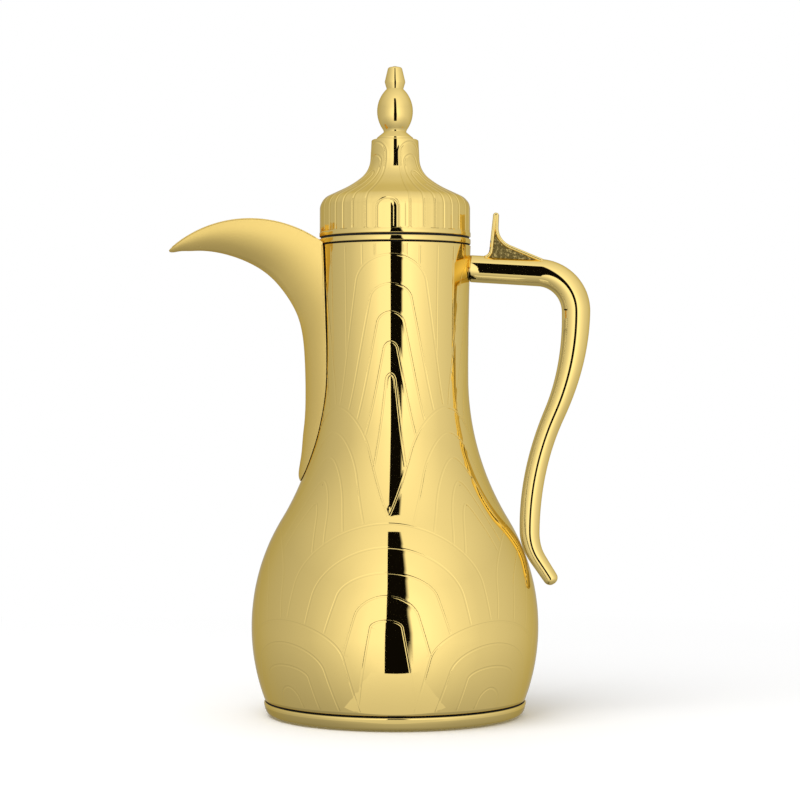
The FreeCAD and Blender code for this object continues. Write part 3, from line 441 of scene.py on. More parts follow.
archLook = {  # an arch: top, half angle and height of its shoulder, spread of its legs
    "turn": 1.2, "foot": 8.2, "corner": 45, "roundSteps": 24, "legStep": 2.5, "endStep": 0.2, "flank": 0.6,
    "neckLegs": (33.4, 23.1, 8.2), "neckGap": 0.3, "neckStep": 0.25, "neckParts": 12,
    "front": [(210.8, 24, 12, 0.273), (197.7, 13.5, 6.2, 0.346), (185, 8.6, 4.7, 0.341),
              (171.5, 4.2, 3, 0.325), (157.2, 3, 3, 0.17)],
    "waist": [(142.2, 21.4, 20, 0.484), (130.9, 16.2, 20, 0.415), (119.6, 11.3, 20, 0.366),
              (109, 7.7, 20, 0.257), (98.9, 4.2, 17.8, 0.265)],
    "bulb": [(90.9, 37.9, 27, 0.123), (80.8, 27.3, 21.6, 0.184), (70, 17.1, 10.3, 0.286),
             (60.1, 10, 8.5, 0.26), (49.5, 5.6, 2.9, 0.16)],
    "base": [(47.4, 25, 15, 0.22), (37.7, 17, 10.9, 0.267), (27.7, 11.2, 4.8, 0.219), (18, 4.2, 5, 0.276)],
}


def archPath(arch, middle, below):  # legs end at the foot or on the row below
    look = archLook

    def isFree(level):
        free = look["corner"] - archWidth(arch, level)
        return level > look["foot"] and free > (archWidth(below, level) if below else 0)

    half = archTop(arch, look["roundSteps"])
    while isFree(half[-1][1] - look["legStep"]):
        level = half[-1][1] - look["legStep"]
        half.append((archWidth(arch, level), level))
    while len(half) > 2 and not isFree(half[-1][1]):
        half.pop()
    level = half[-1][1]
    while isFree(level - look["endStep"]):
        level -= look["endStep"]
    half.append((archWidth(arch, level), level))
    return bothSides(half, middle)


def archPiece():
    look = archLook
    corner = look["corner"]
    pattern = bmesh.new()
    rows = [("front", 0, "waist"), ("waist", corner, "bulb"), ("bulb", 0, "base"), ("base", corner, None)]
    for row, middle, below in rows:
        for arch in look[row]:
            flank = look["flank"] * radians(arch[1]) * shellAt(arch[0])[0]
            route = archPath(arch, middle, look[below][0] if below else None)
            addLine(pattern, route, shellAt, lineLook, flank)
    start = shellLook["top"] - look["neckGap"]
    for width in look["neckLegs"]:  # upright legs that run down from the neck's rim
        level = start
        while corner - width > archWidth(look["front"][0], level - look["neckStep"]):
            level -= look["neckStep"]
        parts = look["neckParts"]
        heights = [start + (level - start) * part / parts for part in range(parts + 1)]
        for turn in (corner - width, corner + width):
            addLine(pattern, [(turn, height) for height in heights], shellAt, lineLook)
    repeatRound(pattern, look["turn"])
    makePiece("arch_lines", pattern, "pot", sharp=50, mirrored=False)


archPiece()
print("shell and its arches made")


# cup round the foot

baseLook = {
    "top": 6.4, "rim": 60.6, "side": 8.43, "sideTurn": 22, "sideSteps": 4, "foot": 0.8, "footRadius": 59,
    "recess": 43, "recessTop": 1.9, "wall": 1, "skirt": 57.6, "steps": 192,
    "footEdge": (1.5, 6), "rimEdge": (0.6, 4), "joint": ((57.6, 6.35), (59.9, 6.45)),
}


def basePiece():
    look = baseLook
    wall, top, foot, footRadius = take(look, "wall", "top", "foot", "footRadius")
    rim, skirt, recess, recessTop = take(look, "rim", "skirt", "recess", "recessTop")
    bm, first = startLine(skirt, top)
    last = lineTo(bm, first, (rim, top), ((rim - look["side"], top), -look["sideTurn"], look["sideSteps"]),
                  (footRadius, foot), (recess, foot), (recess, recessTop), (0, recessTop),
                  (0, recessTop + wall), (recess + wall, recessTop + wall), (recess + wall, foot + wall),
                  (footRadius - wall, foot + wall), (rim - wall, top - wall), (skirt, top - wall))
    turnRound(bm, first, last, look["steps"])
    roundRim(bm, footRadius, foot, *look["footEdge"])
    roundRim(bm, rim, top, *look["rimEdge"])
    # the flat top of the cup takes joint_shade: painted shade that widens the dark line of the joint
    shadeJoint(bm, *look["joint"])
    makePiece("base_cup", bm, "pot", ("base_ring",), second="joint_shade")


basePiece()


# screw threads: a ridge that climbs round the axis, sloped on both sides

threadLook = {"lead": 6, "starts": 2, "root": 1.6, "crest": 0.7, "steps": 72}


def threadRidge(foot, height, rootRadius, crestRadius):
    look = threadLook
    pattern = bmesh.new()
    turns = (height - look["root"]) / look["lead"]
    steps = int(look["steps"] * turns)
    middle, half = foot + look["root"] / 2, look["crest"] / 2
    for start in range(look["starts"]):
        bm, first = startLine(rootRadius, foot)
        last = lineTo(bm, first, (crestRadius, middle - half), (crestRadius, middle + half),
                      (rootRadius, foot + look["root"]))
        closeLine(bm, first, last)
        begin = bm.edges[:]
        swept = bmesh.ops.spin(bm, geom=bm.verts[:] + begin, cent=(0, 0, 0), axis=(0, 0, 1),
                               dvec=(0, 0, turns * look["lead"] / steps), angle=2 * pi * turns, steps=steps)
        closeEnds(bm, begin, only(bmesh.types.BMEdge, swept["geom_last"]))
        turnBy(bm, 360 * start / look["starts"], bm.verts)
        joinMesh(pattern, bm)
    return pattern


# ring on the neck, with the thread for the lid inside

bandLook = {
    "top": 219.6, "foot": 217.25, "radius": 35.03, "neck": 34.53, "skirt": 33.81, "skirtFoot": 206.5,
    "bore": 31.31, "groove": 32.3, "grooveLevels": (207.3, 207.9, 218.4, 219), "steps": 192,
    "edge": (0.35, 3), "joint": ((34.33, 216.3), (34.83, 217.3)), "thread": (207.7, 10.9, 32.4, 31.36),
}


def bandPiece():
    look = bandLook
    top, foot, radius, neck, skirt = take(look, "top", "foot", "radius", "neck", "skirt")
    bore, groove, skirtFoot = take(look, "bore", "groove", "skirtFoot")
    shellTop = shellLook["top"]
    bm, first = startLine(bore, top)
    one, two, three, four = look["grooveLevels"]
    last = lineTo(bm, first, (radius, top), (radius, foot), (neck, foot), (neck, shellTop),
                  (skirt, shellTop), (skirt, skirtFoot), (bore, skirtFoot), (bore, one), (groove, two),
                  (groove, three), (bore, four))
    turnRound(bm, first, last, look["steps"])
    roundRim(bm, radius, top, *look["edge"])
    roundRim(bm, radius, foot, *look["edge"])
    # the step between the band and the shell takes joint_shade: painted shade in the groove
    shadeJoint(bm, *look["joint"])
    joinMesh(bm, threadRidge(*look["thread"]))
    makePiece("neck_band", bm, "pot", ("neck_ring",), second="joint_shade")


bandPiece()
print("base cup and neck band made")


# bell of the lid

lidLook = {
    "foot": 220.6, "rim": 35.03, "rimTop": 222.6, "side": 34.73, "sideTop": 233.35, "wall": 0.8,
    "flange": 2.2,
    "shoulderArc": 6.86, "shoulderTurn": 64.8, "slope": 7.1, "bellArc": 42.6, "bellTurn": 51.1,
    "stemArc": 11.9, "stemTurn": 3, "top": 265.7, "hole": 2.75, "steps": 192,
    "outsideSteps": (16, 10, 20), "insideSteps": (6, 4, 8),
    "topEdge": (0.7, 5), "footEdge": (0.35, 3), "rimEdge": (0.15, 2),
}


def slant(turn):
    return Vector((cos(radians(turn)), sin(radians(turn))))


def lidStations():  # where the straights and arcs of the bell meet, and the centres of its arcs
    look = lidLook
    shoulderMid = Vector((look["side"] - look["shoulderArc"], look["sideTop"]))
    one = shoulderMid + look["shoulderArc"] * slant(look["shoulderTurn"])
    two = one + look["slope"] * slant(look["shoulderTurn"] + 90)
    bellMid = two + look["bellArc"] * slant(look["shoulderTurn"])
    three = bellMid - look["bellArc"] * slant(look["bellTurn"])
    stemMid = three + look["stemArc"] * slant(look["bellTurn"])
    four = stemMid - look["stemArc"] * slant(look["stemTurn"])
    return shoulderMid, one, two, bellMid, three, stemMid, four


def lidAt(level):  # radius of the bell and lean of its face
    look = lidLook
    shoulderMid, one, two, bellMid, three, stemMid, four = lidStations()
    if level <= look["sideTop"]:
        return look["side"], 0
    if level <= one.y:
        lean = asin((level - shoulderMid.y) / look["shoulderArc"])
        return shoulderMid.x + look["shoulderArc"] * cos(lean), lean
    if level <= two.y:
        lean = radians(look["shoulderTurn"])
        return one.x - (level - one.y) * tan(lean), lean
    for end, middle, arc in ((three, bellMid, look["bellArc"]), (four, stemMid, look["stemArc"])):
        if level <= end.y:
            lean = asin((middle.y - level) / arc)
            return middle.x - arc * cos(lean), lean
    lean = radians(look["stemTurn"])
    return four.x - (level - four.y) * tan(lean), lean


def lidPiece():
    look = lidLook
    wall, foot, rim, rimTop, side = take(look, "wall", "foot", "rim", "rimTop", "side")
    top, hole = take(look, "top", "hole")
    shoulderTurn, bellTurn, stemTurn = take(look, "shoulderTurn", "bellTurn", "stemTurn")
    shoulderMid, one, two, bellMid, three, stemMid, four = lidStations()
    shoulderOut, bellOut, stemOut = look["outsideSteps"]
    shoulderIn, bellIn, stemIn = look["insideSteps"]
    flange = rim - wall - look["flange"]
    stem = lidAt(top)[0]
    bm, first = startLine(flange, foot)
    last = lineTo(bm, first, (rim, foot), (rim, rimTop), (side, rimTop), (side, look["sideTop"]),
                  (shoulderMid, shoulderTurn, shoulderOut), (one + two) / 2, two,
                  (bellMid, bellTurn - shoulderTurn, bellOut), (stemMid, stemTurn - bellTurn, stemOut),
                  (stem, top), (hole, top), (hole, top - wall), (stem - wall, top - wall),
                  four - wall * slant(stemTurn), (stemMid, bellTurn - stemTurn, stemIn),
                  (bellMid, shoulderTurn - bellTurn, bellIn), one - wall * slant(shoulderTurn),
                  (shoulderMid, -shoulderTurn, shoulderIn), (side - wall, foot + wall), (flange, foot + wall))
    turnRound(bm, first, last, look["steps"])
    roundRim(bm, stem, top, *look["topEdge"])
    roundRim(bm, rim, foot, *look["footEdge"])
    roundRim(bm, rim, rimTop, *look["rimEdge"])
    makePiece("lid_bell", bm, "lid", ("lid_dome",), mirrored=False)


lidPiece()


# engraved lines of the lid

lidArchLook = {
    "turn": -1.1, "foot": 222.7, "roundSteps": 18, "legStep": 1.3,
    "section": [(0.03, 0.01), (0.36, 0.012), (0.4, 0.1), (0.8, 0.094)], "flank": (2.4, -0.01), "reach": 0.14,
    "root": -0.1, "end": -0.04, "step": 0.8,
    "corner": [(264, 28.3, 5.2, 0), (258, 17.3, 3.4, 0), (250.5, 8.2, 2.2, 0)],
    "front": [(236.2, 8, 4.2, 0)],
    "cornerTurn": 45, "middleTop": 244,
}


def lidLeg(turn, level):  # a leg from a level down to the foot
    look = lidArchLook
    leg = []
    while level > look["foot"]:
        level = max(level - look["legStep"] * cos(lidAt(level)[1]), look["foot"])
        leg.append((turn, level))
    return leg


def lidArchPiece():
    look = lidArchLook
    corner = look["cornerTurn"]
    pattern = bmesh.new()
    for row, middle in (("corner", corner), ("front", 0)):
        for arch in look[row]:
            half = archTop(arch, look["roundSteps"])
            addLine(pattern, bothSides(half + lidLeg(arch[1], half[-1][1]), middle), lidAt, look)
    top = look["middleTop"]
    addLine(pattern, [(corner, top)] + lidLeg(corner, top), lidAt, look)
    repeatRound(pattern, look["turn"])
    makePiece("lid_lines", pattern, "lid", sharp=80, mirrored=False)


lidArchPiece()


# collar and egg on top of the lid

finialLook = {
    "collarFoot": 265.7, "collarRadius": 8.45, "collarTop": 266.6, "collarEdge": (0.25, 3), "steps": 96,
    "foot": 269.3, "seat": 5.2, "hole": 2.75, "start": (5.45, 270.3), "belly": (8.3, 279),
    "waist": (3.85, 289.3), "flare": (4.8, 292.5), "tip": (3.2, 299.2), "crown": 300,
    "lowArc": (14.7, 14), "highArc": (14.3, 18),
    "flareEdge": (0.4, 4), "tipEdge": (0.6, 4), "stud": 2.55, "studTop": 278.3,
}


def arcBetween(bm, last, end, radius, steps):  # bulges away from the axis
    start = Vector((last.co.x, last.co.z))
    chord = Vector(end) - start
    inward = Vector((-chord.y, chord.x)).normalized()
    centre = start + chord / 2 + inward * sqrt(radius ** 2 - (chord.length / 2) ** 2)
    return arcTo(bm, last, centre, degrees(2 * asin(chord.length / 2 / radius)), steps)


def finialPieces():
    look = finialLook
    foot, seat, hole, stud = take(look, "foot", "seat", "hole", "stud")
    collar, collarFoot, collarTop = take(look, "collarRadius", "collarFoot", "collarTop")
    bm, first = startLine(hole, collarFoot)
    last = lineTo(bm, first, (collar, collarFoot), (collar, collarTop), (seat, foot), (hole, foot))
    turnRound(bm, first, last, look["steps"])
    roundRim(bm, collar, collarTop, *look["collarEdge"])
    makePiece("lid_collar", bm, "lid", ("finial_collar",), mirrored=False)
    bm, first = startLine(stud, foot)
    last = lineTo(bm, first, (seat, foot), look["start"])
    last = arcBetween(bm, last, look["belly"], *look["lowArc"])
    last = arcBetween(bm, last, look["waist"], *look["highArc"])
    last = lineTo(bm, last, look["flare"], look["tip"], (0, look["crown"]), (0, look["studTop"]),
                  (stud, look["studTop"]))
    turnRound(bm, first, last, look["steps"])
    roundRim(bm, *look["flare"], *look["flareEdge"])
    roundRim(bm, *look["tip"], *look["tipEdge"])
    makePiece("lid_egg", bm, "lid", ("finial",), mirrored=False)


finialPieces()


# threaded plug under the lid

plugLook = {
    "top": 221.4, "rim": 30.91, "rimFoot": 220.4, "root": 29.9, "rootTop": 219.8, "threadFoot": 207.8,
    "inside": 28.7, "plate": 218.4, "stem": 22, "collar": 27, "collarTop": 186.1, "foot": 183.5,
    "stemBore": 20, "hole": 2.75, "steps": 128, "collarEdge": (0.5, 3), "footEdge": (0.3, 2),
    "thread": (208.4, 11, 29.8, 30.86),
}


def plugPiece():
    look = plugLook
    top, plate, root, hole = take(look, "top", "plate", "root", "hole")
    rim, inside, foot, threadFoot = take(look, "rim", "inside", "foot", "threadFoot")
    stem, stemBore, collar, collarTop = take(look, "stem", "stemBore", "collar", "collarTop")
    bm, first = startLine(hole, top)
    last = lineTo(bm, first, (rim, top), (rim, look["rimFoot"]), (root, look["rootTop"]), (root, threadFoot),
                  (inside, threadFoot), (inside, plate), (stem, plate), (stem, collarTop),
                  (collar, collarTop), (collar, foot), (stemBore, foot), (stemBore, plate), (hole, plate))
    turnRound(bm, first, last, look["steps"])
    roundRim(bm, collar, collarTop, *look["collarEdge"])
    roundRim(bm, root, threadFoot, *look["footEdge"])
    joinMesh(bm, threadRidge(*look["thread"]))
    makePiece("lid_plug", bm, "lid", ("stopper",), "moulding", mirrored=False)


plugPiece()
print("lid made")


# handle: one ring that is drawn out along straights and arcs and changes its size on the way

handleLook = {
    "start": (34.06, 206), "sides": 40, "slope": 3.5, "bend": (66.70, 204.0), "barSteps": 8,
    "curves": [((65.6, 186.03), -86.5, 24), ((-33.0, 186.03), -23.88, 20), ((195.24, 85), 23.88, 22),
               ((86.24, 85), 33.4, 12)],
    "foot": 10.2, "footSteps": 4, "tipRound": 3.1, "tipTurn": 80, "endRound": 1.5, "roundSteps": 8,
    "grips": (6.25, 6.35, 6.55, 4.95, 4.6, 3.75, 3.38), "gripAt": (0, 32.7, 59.9, 108.5, 163.9, 177.9, 188.1),
}


def smoothSize(places, sizes, at):  # runs through all sizes without a kink
    index = max(i for i in range(len(places) - 1) if at >= places[i] or i == 0)

    def pull(i):
        low, high = max(i - 1, 0), min(i + 1, len(places) - 1)
        return (sizes[high] - sizes[low]) / (places[high] - places[low])

    gap = places[index + 1] - places[index]
    t = (at - places[index]) / gap
    return ((2 * t ** 3 - 3 * t ** 2 + 1) * sizes[index] + (t ** 3 - 2 * t ** 2 + t) * gap * pull(index)
            + (3 * t ** 2 - 2 * t ** 3) * sizes[index + 1] + (t ** 3 - t ** 2) * gap * pull(index + 1))


def handlePiece():
    look = handleLook
    bm = bmesh.new()
    start, bend = flat(look["start"]), flat(look["bend"])
    size = look["grips"][0] - look["endRound"]
    bmesh.ops.create_circle(bm, cap_ends=False, radius=size, segments=look["sides"],
                            matrix=Matrix.Translation(start) @ Matrix.Rotation(pi / 2, 4, "Y"))
    begin = bm.edges[:]
    state = {"front": begin, "tips": bm.verts[:], "size": size, "mid": start, "gone": 0}

    def resize(size):
        share = size / state["size"]
        about = Matrix.Translation(-state["mid"])
        bmesh.ops.scale(bm, vec=(share, share, share), space=about, verts=state["tips"])
        state["size"] = size

    def resizeGrip():
        resize(smoothSize(look["gripAt"], look["grips"], state["gone"]))

    def drawOut(step):
        state["tips"], state["front"] = growEdges(bm, state["front"])
        bmesh.ops.translate(bm, vec=step, verts=state["tips"])
        state["mid"] = state["mid"] + step
        state["gone"] += step.length

    def curve(centre, turn, steps):
        middle = flat(centre)
        part = Matrix.Rotation(-radians(turn) / steps, 3, "Y")
        for step in range(steps):
            state["tips"], state["front"] = growEdges(bm, state["front"])
            bmesh.ops.rotate(bm, cent=middle, matrix=part, verts=state["tips"])
            arm = state["mid"] - middle
            state["mid"] = middle + part @ arm
            state["gone"] += abs(radians(turn)) / steps * arm.length
            resizeGrip()

    run = (bend - start).normalized()
    steps = look["roundSteps"]
    angles = [radians(90 * step / steps) for step in range(steps + 1)]
    for before, after in zip(angles, angles[1:]):  # rounded end against the neck
        drawOut(run * look["endRound"] * (cos(before) - cos(after)))
        resize(look["grips"][0] - look["endRound"] * (1 - sin(after)))
    bmesh.ops.rotate(bm, cent=state["mid"], matrix=Matrix.Rotation(radians(look["slope"]), 3, "Y"),
                     verts=state["tips"])
    rest = bend - state["mid"]
    for step in range(look["barSteps"]):
        drawOut(rest / look["barSteps"])
        resizeGrip()
    for bow in look["curves"]:
        curve(*bow)
    endTurn = radians(look["curves"][-1][1])
    along = Vector((sin(endTurn), 0, -cos(endTurn)))
    for step in range(look["footSteps"]):
        drawOut(along * look["foot"] / look["footSteps"])
        resizeGrip()
    size = state["size"]
    angles = [radians(look["tipTurn"] * step / steps) for step in range(steps + 1)]
    for before, after in zip(angles, angles[1:]):  # round end
        drawOut(along * look["tipRound"] * (sin(after) - sin(before)))
        resize(size - look["tipRound"] * (1 - cos(after)))
    closeEnds(bm, state["front"], begin)
    makePiece("handle_bar", bm, "pot", ("handle",), sharp=50)


handlePiece()


# tubes along a run of points

def evenRun(run, step):
    even, left = [run[0]], step
    for before, after in zip(run, run[1:]):
        length = (after - before).length
        while left <= length:
            even.append(before + (after - before) * left / length)
            left += step
        left -= length
    return even + [run[-1]]


def addTube(pattern, run, outward, section, sides):  # section: sideways, outward and radius
    bm = bmesh.new()
    front, place = None, None
    for index, spot in enumerate(run):
        along = (run[min(index + 1, len(run) - 1)] - run[max(index - 1, 0)]).normalized()
        side = along.cross(outward(spot)).normalized()
        out = side.cross(along)
        across, up, size = section(spot)
        following = Matrix((side, out, along)).transposed().to_4x4()
        following.translation = spot + side * across + out * up
        following = following @ Matrix.Scale(size, 4)
        if front is None:
            bmesh.ops.create_circle(bm, cap_ends=False, radius=1, segments=sides, matrix=following)
            front = bm.edges[:]
            bmesh.ops.contextual_create(bm, geom=front)
        else:
            tips, front = growEdges(bm, front)
            bmesh.ops.transform(bm, matrix=following @ place.inverted(), verts=tips)
        place = following
    closeEnds(bm, front)
    joinMesh(pattern, bm)


# thumb rest: a rough plate with a polished bead round each side

thumbLook = {
    "half": 2.9, "bead": 0.85, "beadStep": 0.5, "sides": 14,
    "foot": (41.55, 210.394), "heel": (41.55, 211.794), "flare": ((40.95, 214.63), 79.3, 6),
    "topLeft": (45.55, 230.694), "top": ((46.85, 230.174), -136.4, 10),
    "neck": (47.95, 224.994), "sweep": ((56.95, 224.84), 67.4, 12),
    "tail": (68.55, 210.143), "tailFoot": (68.55, 208.743),
}


def thumbPiece():
    look = thumbLook
    bm, first = startLine(*look["foot"])
    steps = take(look, "heel", "flare", "topLeft", "top", "neck", "sweep", "tail", "tailFoot")
    last = lineTo(bm, first, *steps)
    toSide = Vector((0, -look["half"], 0))
    border = [vert.co + toSide for vert in bm.verts]
    closeLine(bm, first, last)
    bmesh.ops.translate(bm, vec=toSide, verts=bm.verts)
    outline = bm.edges[:]
    bmesh.ops.triangle_fill(bm, edges=outline, use_beauty=True)
    for face in bm.faces:
        face.material_index = 1
    bmesh.ops.translate(bm, vec=-toSide, verts=growEdges(bm, outline)[0])
    for face in bm.faces:
        if abs(face.normal.y) < 0.5:  # the plate's edge is polished
            face.material_index = 0
    bead = look["bead"]
    addTube(bm, evenRun(border, look["beadStep"]), lambda spot: Vector((0, -1, 0)),
            lambda spot: (bead, 0, bead), look["sides"])
    bmesh.ops.mirror(bm, geom=bm.verts[:] + bm.edges[:] + bm.faces[:], matrix=Matrix.Identity(4),
                     merge_dist=0.001, axis="Y")
    closeSeams(bm)
    makePiece("thumb_fin", bm, "pot", ("thumb_rest",), second="gold_cast")


thumbPiece()
print("handle made")


# spout: its solid, a bead on its free edge, and on the neck a dark tube of painted shade along the joint and
# a bead

spoutLook = {
    "sharp": 35, "seamNear": 0.3, "seamEnd": 216.1, "seamTop": 216.5,
    "rimMid": (-67.35, 168.8), "rimArc": 60.2, "rimNear": 0.06, "rimRoot": -36, "rimEnd": -104.2,
    "rimSide": 0.6, "rim": (0, -0.18, 0.3),
    "joint": (0, 0.05, 0.45), "bead": (-0.32, 0.75, 0.42), "thin": (0.35, 150, 195),
    "step": 1.5, "sides": 8,
}


def chain(links, start, following, stop):
    run = [start, following]
    while not stop(run[-1].co):
        ahead = [vert for vert in links[run[-1]] if vert not in run]
        if not ahead:
            break
        run.append(ahead[0])
    return [vert.co.copy() for vert in run]


def edgeChain(bm, test, first, stop):  # the sharp edges that run both ways from the first corner
    links = {}
    sharp = radians(spoutLook["sharp"])
    for edge in bm.edges:
        if edge.calc_face_angle(0) > sharp and all(test(vert.co) for vert in edge.verts):
            for vert in edge.verts:
                links.setdefault(vert, []).append(edge.other_vert(vert))
    start = min(links, key=lambda vert: first(vert.co))
    one, other = [chain(links, start, vert, stop) for vert in links[start]]
    return one[::-1] + other[1:]


def spoutPieces():
    look = spoutLook
    step, sides = look["step"], look["sides"]
    solid = bmesh.new()
    solid.from_mesh(nodes["spout"].data)
    bmesh.ops.scale(solid, vec=(1000, 1000, 1000), verts=solid.verts)
    bmesh.ops.remove_doubles(solid, verts=solid.verts, dist=0.001)

    def fromRim(spot):
        return flat((spot.x - look["rimMid"][0], spot.z - look["rimMid"][1]))

    def onNeck(spot):
        return spot.z < look["seamTop"] and abs(spot.xy.length - shellAt(spot.z)[0]) < look["seamNear"]

    def onRim(spot):
        return abs(fromRim(spot).length - look["rimArc"]) < look["rimNear"]

    seam = edgeChain(solid, onNeck, lambda spot: spot.z, lambda spot: spot.z > look["seamEnd"])
    rim = edgeChain(solid, onRim, lambda spot: spot.x, lambda spot: spot.x > look["rimRoot"])
    solid.free()
    seam = evenRun(seam, step)
    if seam[0].y > 0:
        seam.reverse()

    def neckOut(spot):
        lean, across = shellAt(spot.z)[1], spot.xy.length
        return Vector((spot.x / across * cos(lean), spot.y / across * cos(lean), sin(lean)))

    def thinned(part):
        low, foot, top = look["thin"]

        def section(spot):
            share = low + (1 - low) * min(max((spot.z - foot) / (top - foot), 0), 1)
            return [value * share for value in part]
        return section

    edge = bmesh.new()
    # near-black tube in joint_shade along the seam: painted shade in the joint between spout and neck
    addTube(edge, seam, neckOut, thinned(look["joint"]), sides)
    for face in edge.faces:
        face.material_index = 1
    addTube(edge, seam, neckOut, thinned(look["bead"]), sides)
    for side in (-1, 1):
        run = [spot for spot in rim if spot.y * side > look["rimSide"] and spot.x > look["rimEnd"]]
        addTube(edge, evenRun(run, step), lambda spot: fromRim(spot).normalized(),
                lambda spot: look["rim"], sides)
    makePiece("spout_edge", edge, "pot", slot="gold_satin", sharp=60, second="joint_shade")


spoutPieces()
print("spout made")


# camera, as the photo was taken

cameraLook = {
    "turn": 4.5, "away": 1.0517, "level": 0.14896, "lens": 102.15, "sensor": 36, "near": 0.01,
    "shift": (0.00625, -0.01),
}


def setCamera():
    look = cameraLook
    data = bpy.data.cameras.new("camera")
    camera = bpy.data.objects.new("camera", data)
    scene.collection.objects.link(camera)
    turn = radians(look["turn"])
    camera.location = (sin(turn) * look["away"], -cos(turn) * look["away"], look["level"])
    camera.rotation_euler = (pi / 2, 0, turn)
    data.lens = look["lens"]
    data.sensor_width = look["sensor"]
    data.shift_x, data.shift_y = look["shift"]
    data.clip_start = look["near"]
    scene.camera = camera


setCamera()


# studio: a dome that darkens away from the front, with a dark gap in it, a pale floor, a small board and
# a painted shadow of the pot; dome, gap, board and shadow only show in the metal

studioLook = {
    "ambient": 0.78,
    "dome": 2.2, "domeCuts": 5,
    "fade": [(0, 0.375), (0.067, 0.42), (0.179, 0.465), (0.329, 0.5), (0.5, 0.55), (0.671, 0.617),
             (0.75, 0.69), (0.8215, 0.755), (0.883, 0.845), (0.933, 0.95), (0.96, 1.03), (1, 1.05)],
    "under": (0.744, 1.2, -0.36, -0.05), "sides": (1.13, 0.9, -0.5, 0.5), "over": (1, 1.25, 0.2, 0.45),
    "gap": [(-0.64, -8.7, 11.9, 1.3), (-0.45, -8.2, 11.5, 1.3), (0, -7.5, 11, 1.3), (0.22, -6.6, 9, 1.3),
            (0.6, -6.3, 8.5, 1.3), (1.2, -7.5, 7.5, 1.25), (1.45, -9, 5, 1)],
    "gapSoft": 3, "gapColour": (0.004, 0.0035, 0.003, 1),
    "floor": 1.6, "floorColour": (0.93, 0.93, 0.93, 1), "floorRough": 0.8, "floorFade": (0.15, 0.5),
    "board": (0.032, 0.065, 0.124), "boardLight": (0.71, 0.97), "boardLevel": -0.0002,
    "shade": 0.068, "shadeDepth": 0.2, "shadeLevel": -0.0003, "circle": 96,
    "lamp": (-0.35, -0.5, 1.2), "lampAim": (0, 0, 0.1), "lampSize": 0.9, "lampPower": 9,
}


def mathNode(tree, operation, first, second):
    node = tree.nodes.new("ShaderNodeMath")
    node.operation = operation
    tree.links.new(first, node.inputs[0])
    tree.links.new(second, node.inputs[1])
    return node.outputs[0]


def seenRay(tree):  # 1 for what the camera sees, also in metal and through glass
    path = tree.nodes.new("ShaderNodeLightPath")
    found = path.outputs["Is Camera Ray"]
    for kind in ("Is Glossy Ray", "Is Transmission Ray"):
        found = mathNode(tree, "MAXIMUM", found, path.outputs[kind])
    return found


def mixShaders(tree, first, second, end="Material Output"):  # gives the socket for the second one's share
    mix = tree.nodes.new("ShaderNodeMixShader")
    tree.links.new(first.outputs[0], mix.inputs[1])
    tree.links.new(second.outputs[0], mix.inputs[2])
    tree.links.new(mix.outputs[0], tree.nodes[end].inputs["Surface"])
    return mix.inputs["Fac"]


def fromAxis(tree):
    reach = tree.nodes.new("ShaderNodeVectorMath")
    reach.operation = "LENGTH"
    tree.links.new(objectPlace(tree), reach.inputs[0])
    return reach.outputs["Value"]


def glowFinish(name):
    finish, tree, shader = newFinish(name)
    tree.nodes.remove(shader)
    glow = tree.nodes.new("ShaderNodeEmission")
    tree.links.new(glow.outputs[0], tree.nodes["Material Output"].inputs["Surface"])
    return finish, tree, glow


def stagePiece(name, bm, finish, seen=False):  # what isn't seen shows in the metal only
    piece = newObject(name, bm, finish)
    piece.visible_camera = seen
    piece.visible_glossy = not seen
    piece.visible_diffuse = seen
    piece.visible_transmission = seen
    piece.visible_shadow = seen


def setWorld():
    world = bpy.data.worlds.new("studio")
    scene.world = world
    world.use_nodes = True
    tree = world.node_tree
    plain = tree.nodes["Background"]
    white = tree.nodes.new("ShaderNodeBackground")
    for light, strength in ((plain, studioLook["ambient"]), (white, 1)):
        light.inputs["Color"].default_value = (1, 1, 1, 1)
        light.inputs["Strength"].default_value = strength
    tree.links.new(seenRay(tree), mixShaders(tree, plain, white, "World Output"))


def setDome():
    look = studioLook
    finish, tree, glow = glowFinish("dome_glow")
    fit = tree.nodes.new("ShaderNodeMapping")  # X runs to the left, Y from 0 at the back to 1 in front
    fit.inputs["Rotation"].default_value = (0, 0, pi - radians(cameraLook["turn"]))
    fit.inputs["Scale"].default_value = (0.5 / look["dome"],) * 3
    fit.inputs["Location"].default_value = (0, 0.5, 0)
    parts = tree.nodes.new("ShaderNodeSeparateXYZ")
    tree.links.new(objectPlace(tree), fit.inputs["Vector"])
    tree.links.new(fit.outputs["Vector"], parts.inputs["Vector"])
    stops = [(position, (level, level, level, 1)) for position, level in look["fade"]]
    tree.links.new(blendColours(tree, parts.outputs["Y"], stops), glow.inputs["Color"])
    strength = spread(tree, parts.outputs["Z"], *look["under"])
    for axis, share in (("X", look["sides"]), ("Z", look["over"])):
        strength = mathNode(tree, "MULTIPLY", strength, spread(tree, parts.outputs[axis], *share))
    tree.links.new(strength, glow.inputs["Strength"])
    bm = bmesh.new()
    bmesh.ops.create_icosphere(bm, subdivisions=look["domeCuts"], radius=look["dome"])
    stagePiece("studio_dome", bm, finish)


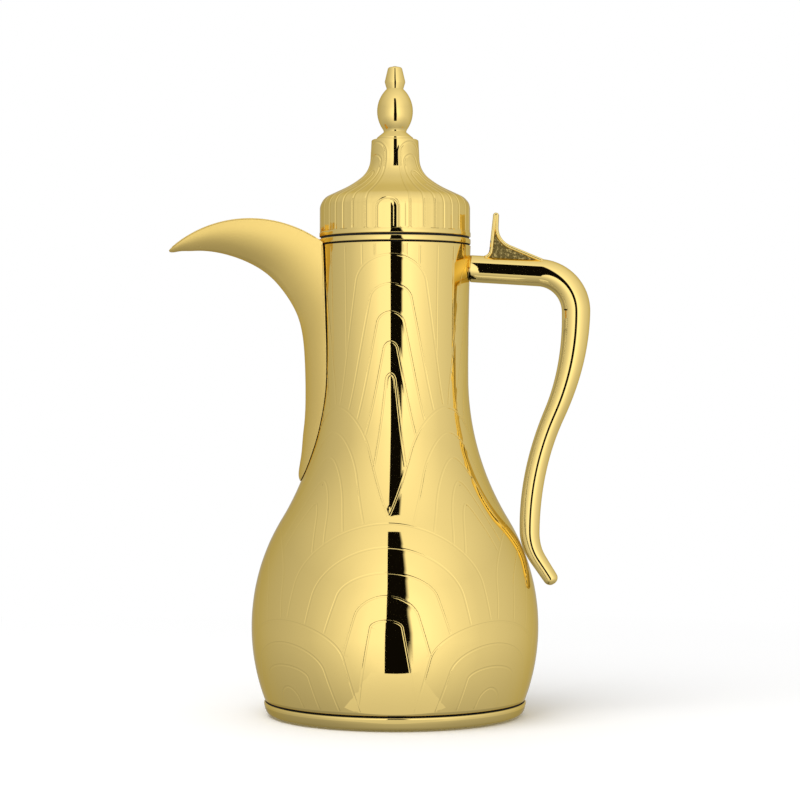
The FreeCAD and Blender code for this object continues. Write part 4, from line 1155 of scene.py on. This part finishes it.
def setGap():  # its right edge is soft
    look = studioLook
    finish, tree, glow = glowFinish("gap_dark")
    glow.inputs["Color"].default_value = look["gapColour"]
    soft = tree.nodes.new("ShaderNodeAttribute")
    soft.attribute_name = "soft"
    clear = tree.nodes.new("ShaderNodeBsdfTransparent")
    tree.links.new(soft.outputs["Fac"], mixShaders(tree, glow, clear))
    bm = bmesh.new()
    softness = bm.verts.layers.float.new("soft")
    tips = startRow(bm, 3)
    front = bm.edges[:]
    for row, (level, left, right, away) in enumerate(look["gap"]):
        if row > 0:
            tips, front = growEdges(bm, front)
            tips.sort(key=lambda vert: vert.co.x)
        for tip, side in zip(tips, (left, right, right + look["gapSoft"])):
            turn = radians(side + cameraLook["turn"])
            tip.co = (sin(turn) * away, -cos(turn) * away, level)
            tip[softness] = 1 if side > right else 0
    stagePiece("studio_gap", bm, finish)


def disc(radius, level=0):
    bm = bmesh.new()
    bmesh.ops.create_circle(bm, cap_ends=True, radius=radius, segments=studioLook["circle"])
    bmesh.ops.translate(bm, vec=(0, 0, level), verts=bm.verts)
    return bm


def setFloor():  # far from the pot it is as white as the background
    look = studioLook
    finish, tree, shader = newFinish("floor_pale")
    shader.inputs["Base Color"].default_value = look["floorColour"]
    shader.inputs["Roughness"].default_value = look["floorRough"]
    white = tree.nodes.new("ShaderNodeEmission")
    far = spread(tree, fromAxis(tree), 0, 1, *look["floorFade"])
    tree.links.new(mathNode(tree, "MULTIPLY", far, seenRay(tree)), mixShaders(tree, shader, white))
    stagePiece("floor", disc(look["floor"]), finish, seen=True)


def setBoard():
    look = studioLook
    half, near, far = look["board"]
    finish, tree, glow = glowFinish("board_pale")
    # the glow is dimmer near the pot: painted shade of the pot on the board, seen only in the metal
    tree.links.new(spread(tree, fromAxis(tree), *look["boardLight"], near, far), glow.inputs["Strength"])
    bm = bmesh.new()
    bmesh.ops.create_grid(bm, x_segments=1, y_segments=1, size=1)
    bmesh.ops.scale(bm, vec=(half, (far - near) / 2, 1), verts=bm.verts)
    bmesh.ops.translate(bm, vec=(0, -(near + far) / 2, look["boardLevel"]), verts=bm.verts)
    turnBy(bm, cameraLook["turn"], bm.verts)
    stagePiece("studio_board", bm, finish)


def setShade():  # painted shadow: darkens the floor close to the pot in the metal's reflection, as the cup shows it
    look = studioLook
    finish, tree, glow = glowFinish("shade_dark")
    glow.inputs["Color"].default_value = (0, 0, 0, 1)
    clear = tree.nodes.new("ShaderNodeBsdfTransparent")
    mixShaders(tree, clear, glow).default_value = look["shadeDepth"]
    stagePiece("studio_shade", disc(look["shade"], look["shadeLevel"]), finish)


def setLamp():
    look = studioLook
    data = bpy.data.lights.new("lamp_top", "AREA")
    data.shape = "SQUARE"
    data.size = look["lampSize"]
    data.energy = look["lampPower"]
    lamp = bpy.data.objects.new("lamp_top", data)
    lamp.location = look["lamp"]
    aim = Vector(look["lampAim"]) - Vector(look["lamp"])
    lamp.rotation_euler = aim.to_track_quat("-Z", "Y").to_euler()
    lamp.visible_glossy = False
    scene.collection.objects.link(lamp)


setWorld()
setDome()
setGap()
setFloor()
setBoard()
setShade()
setLamp()
scene.view_settings.view_transform = "Standard"
print("studio set")
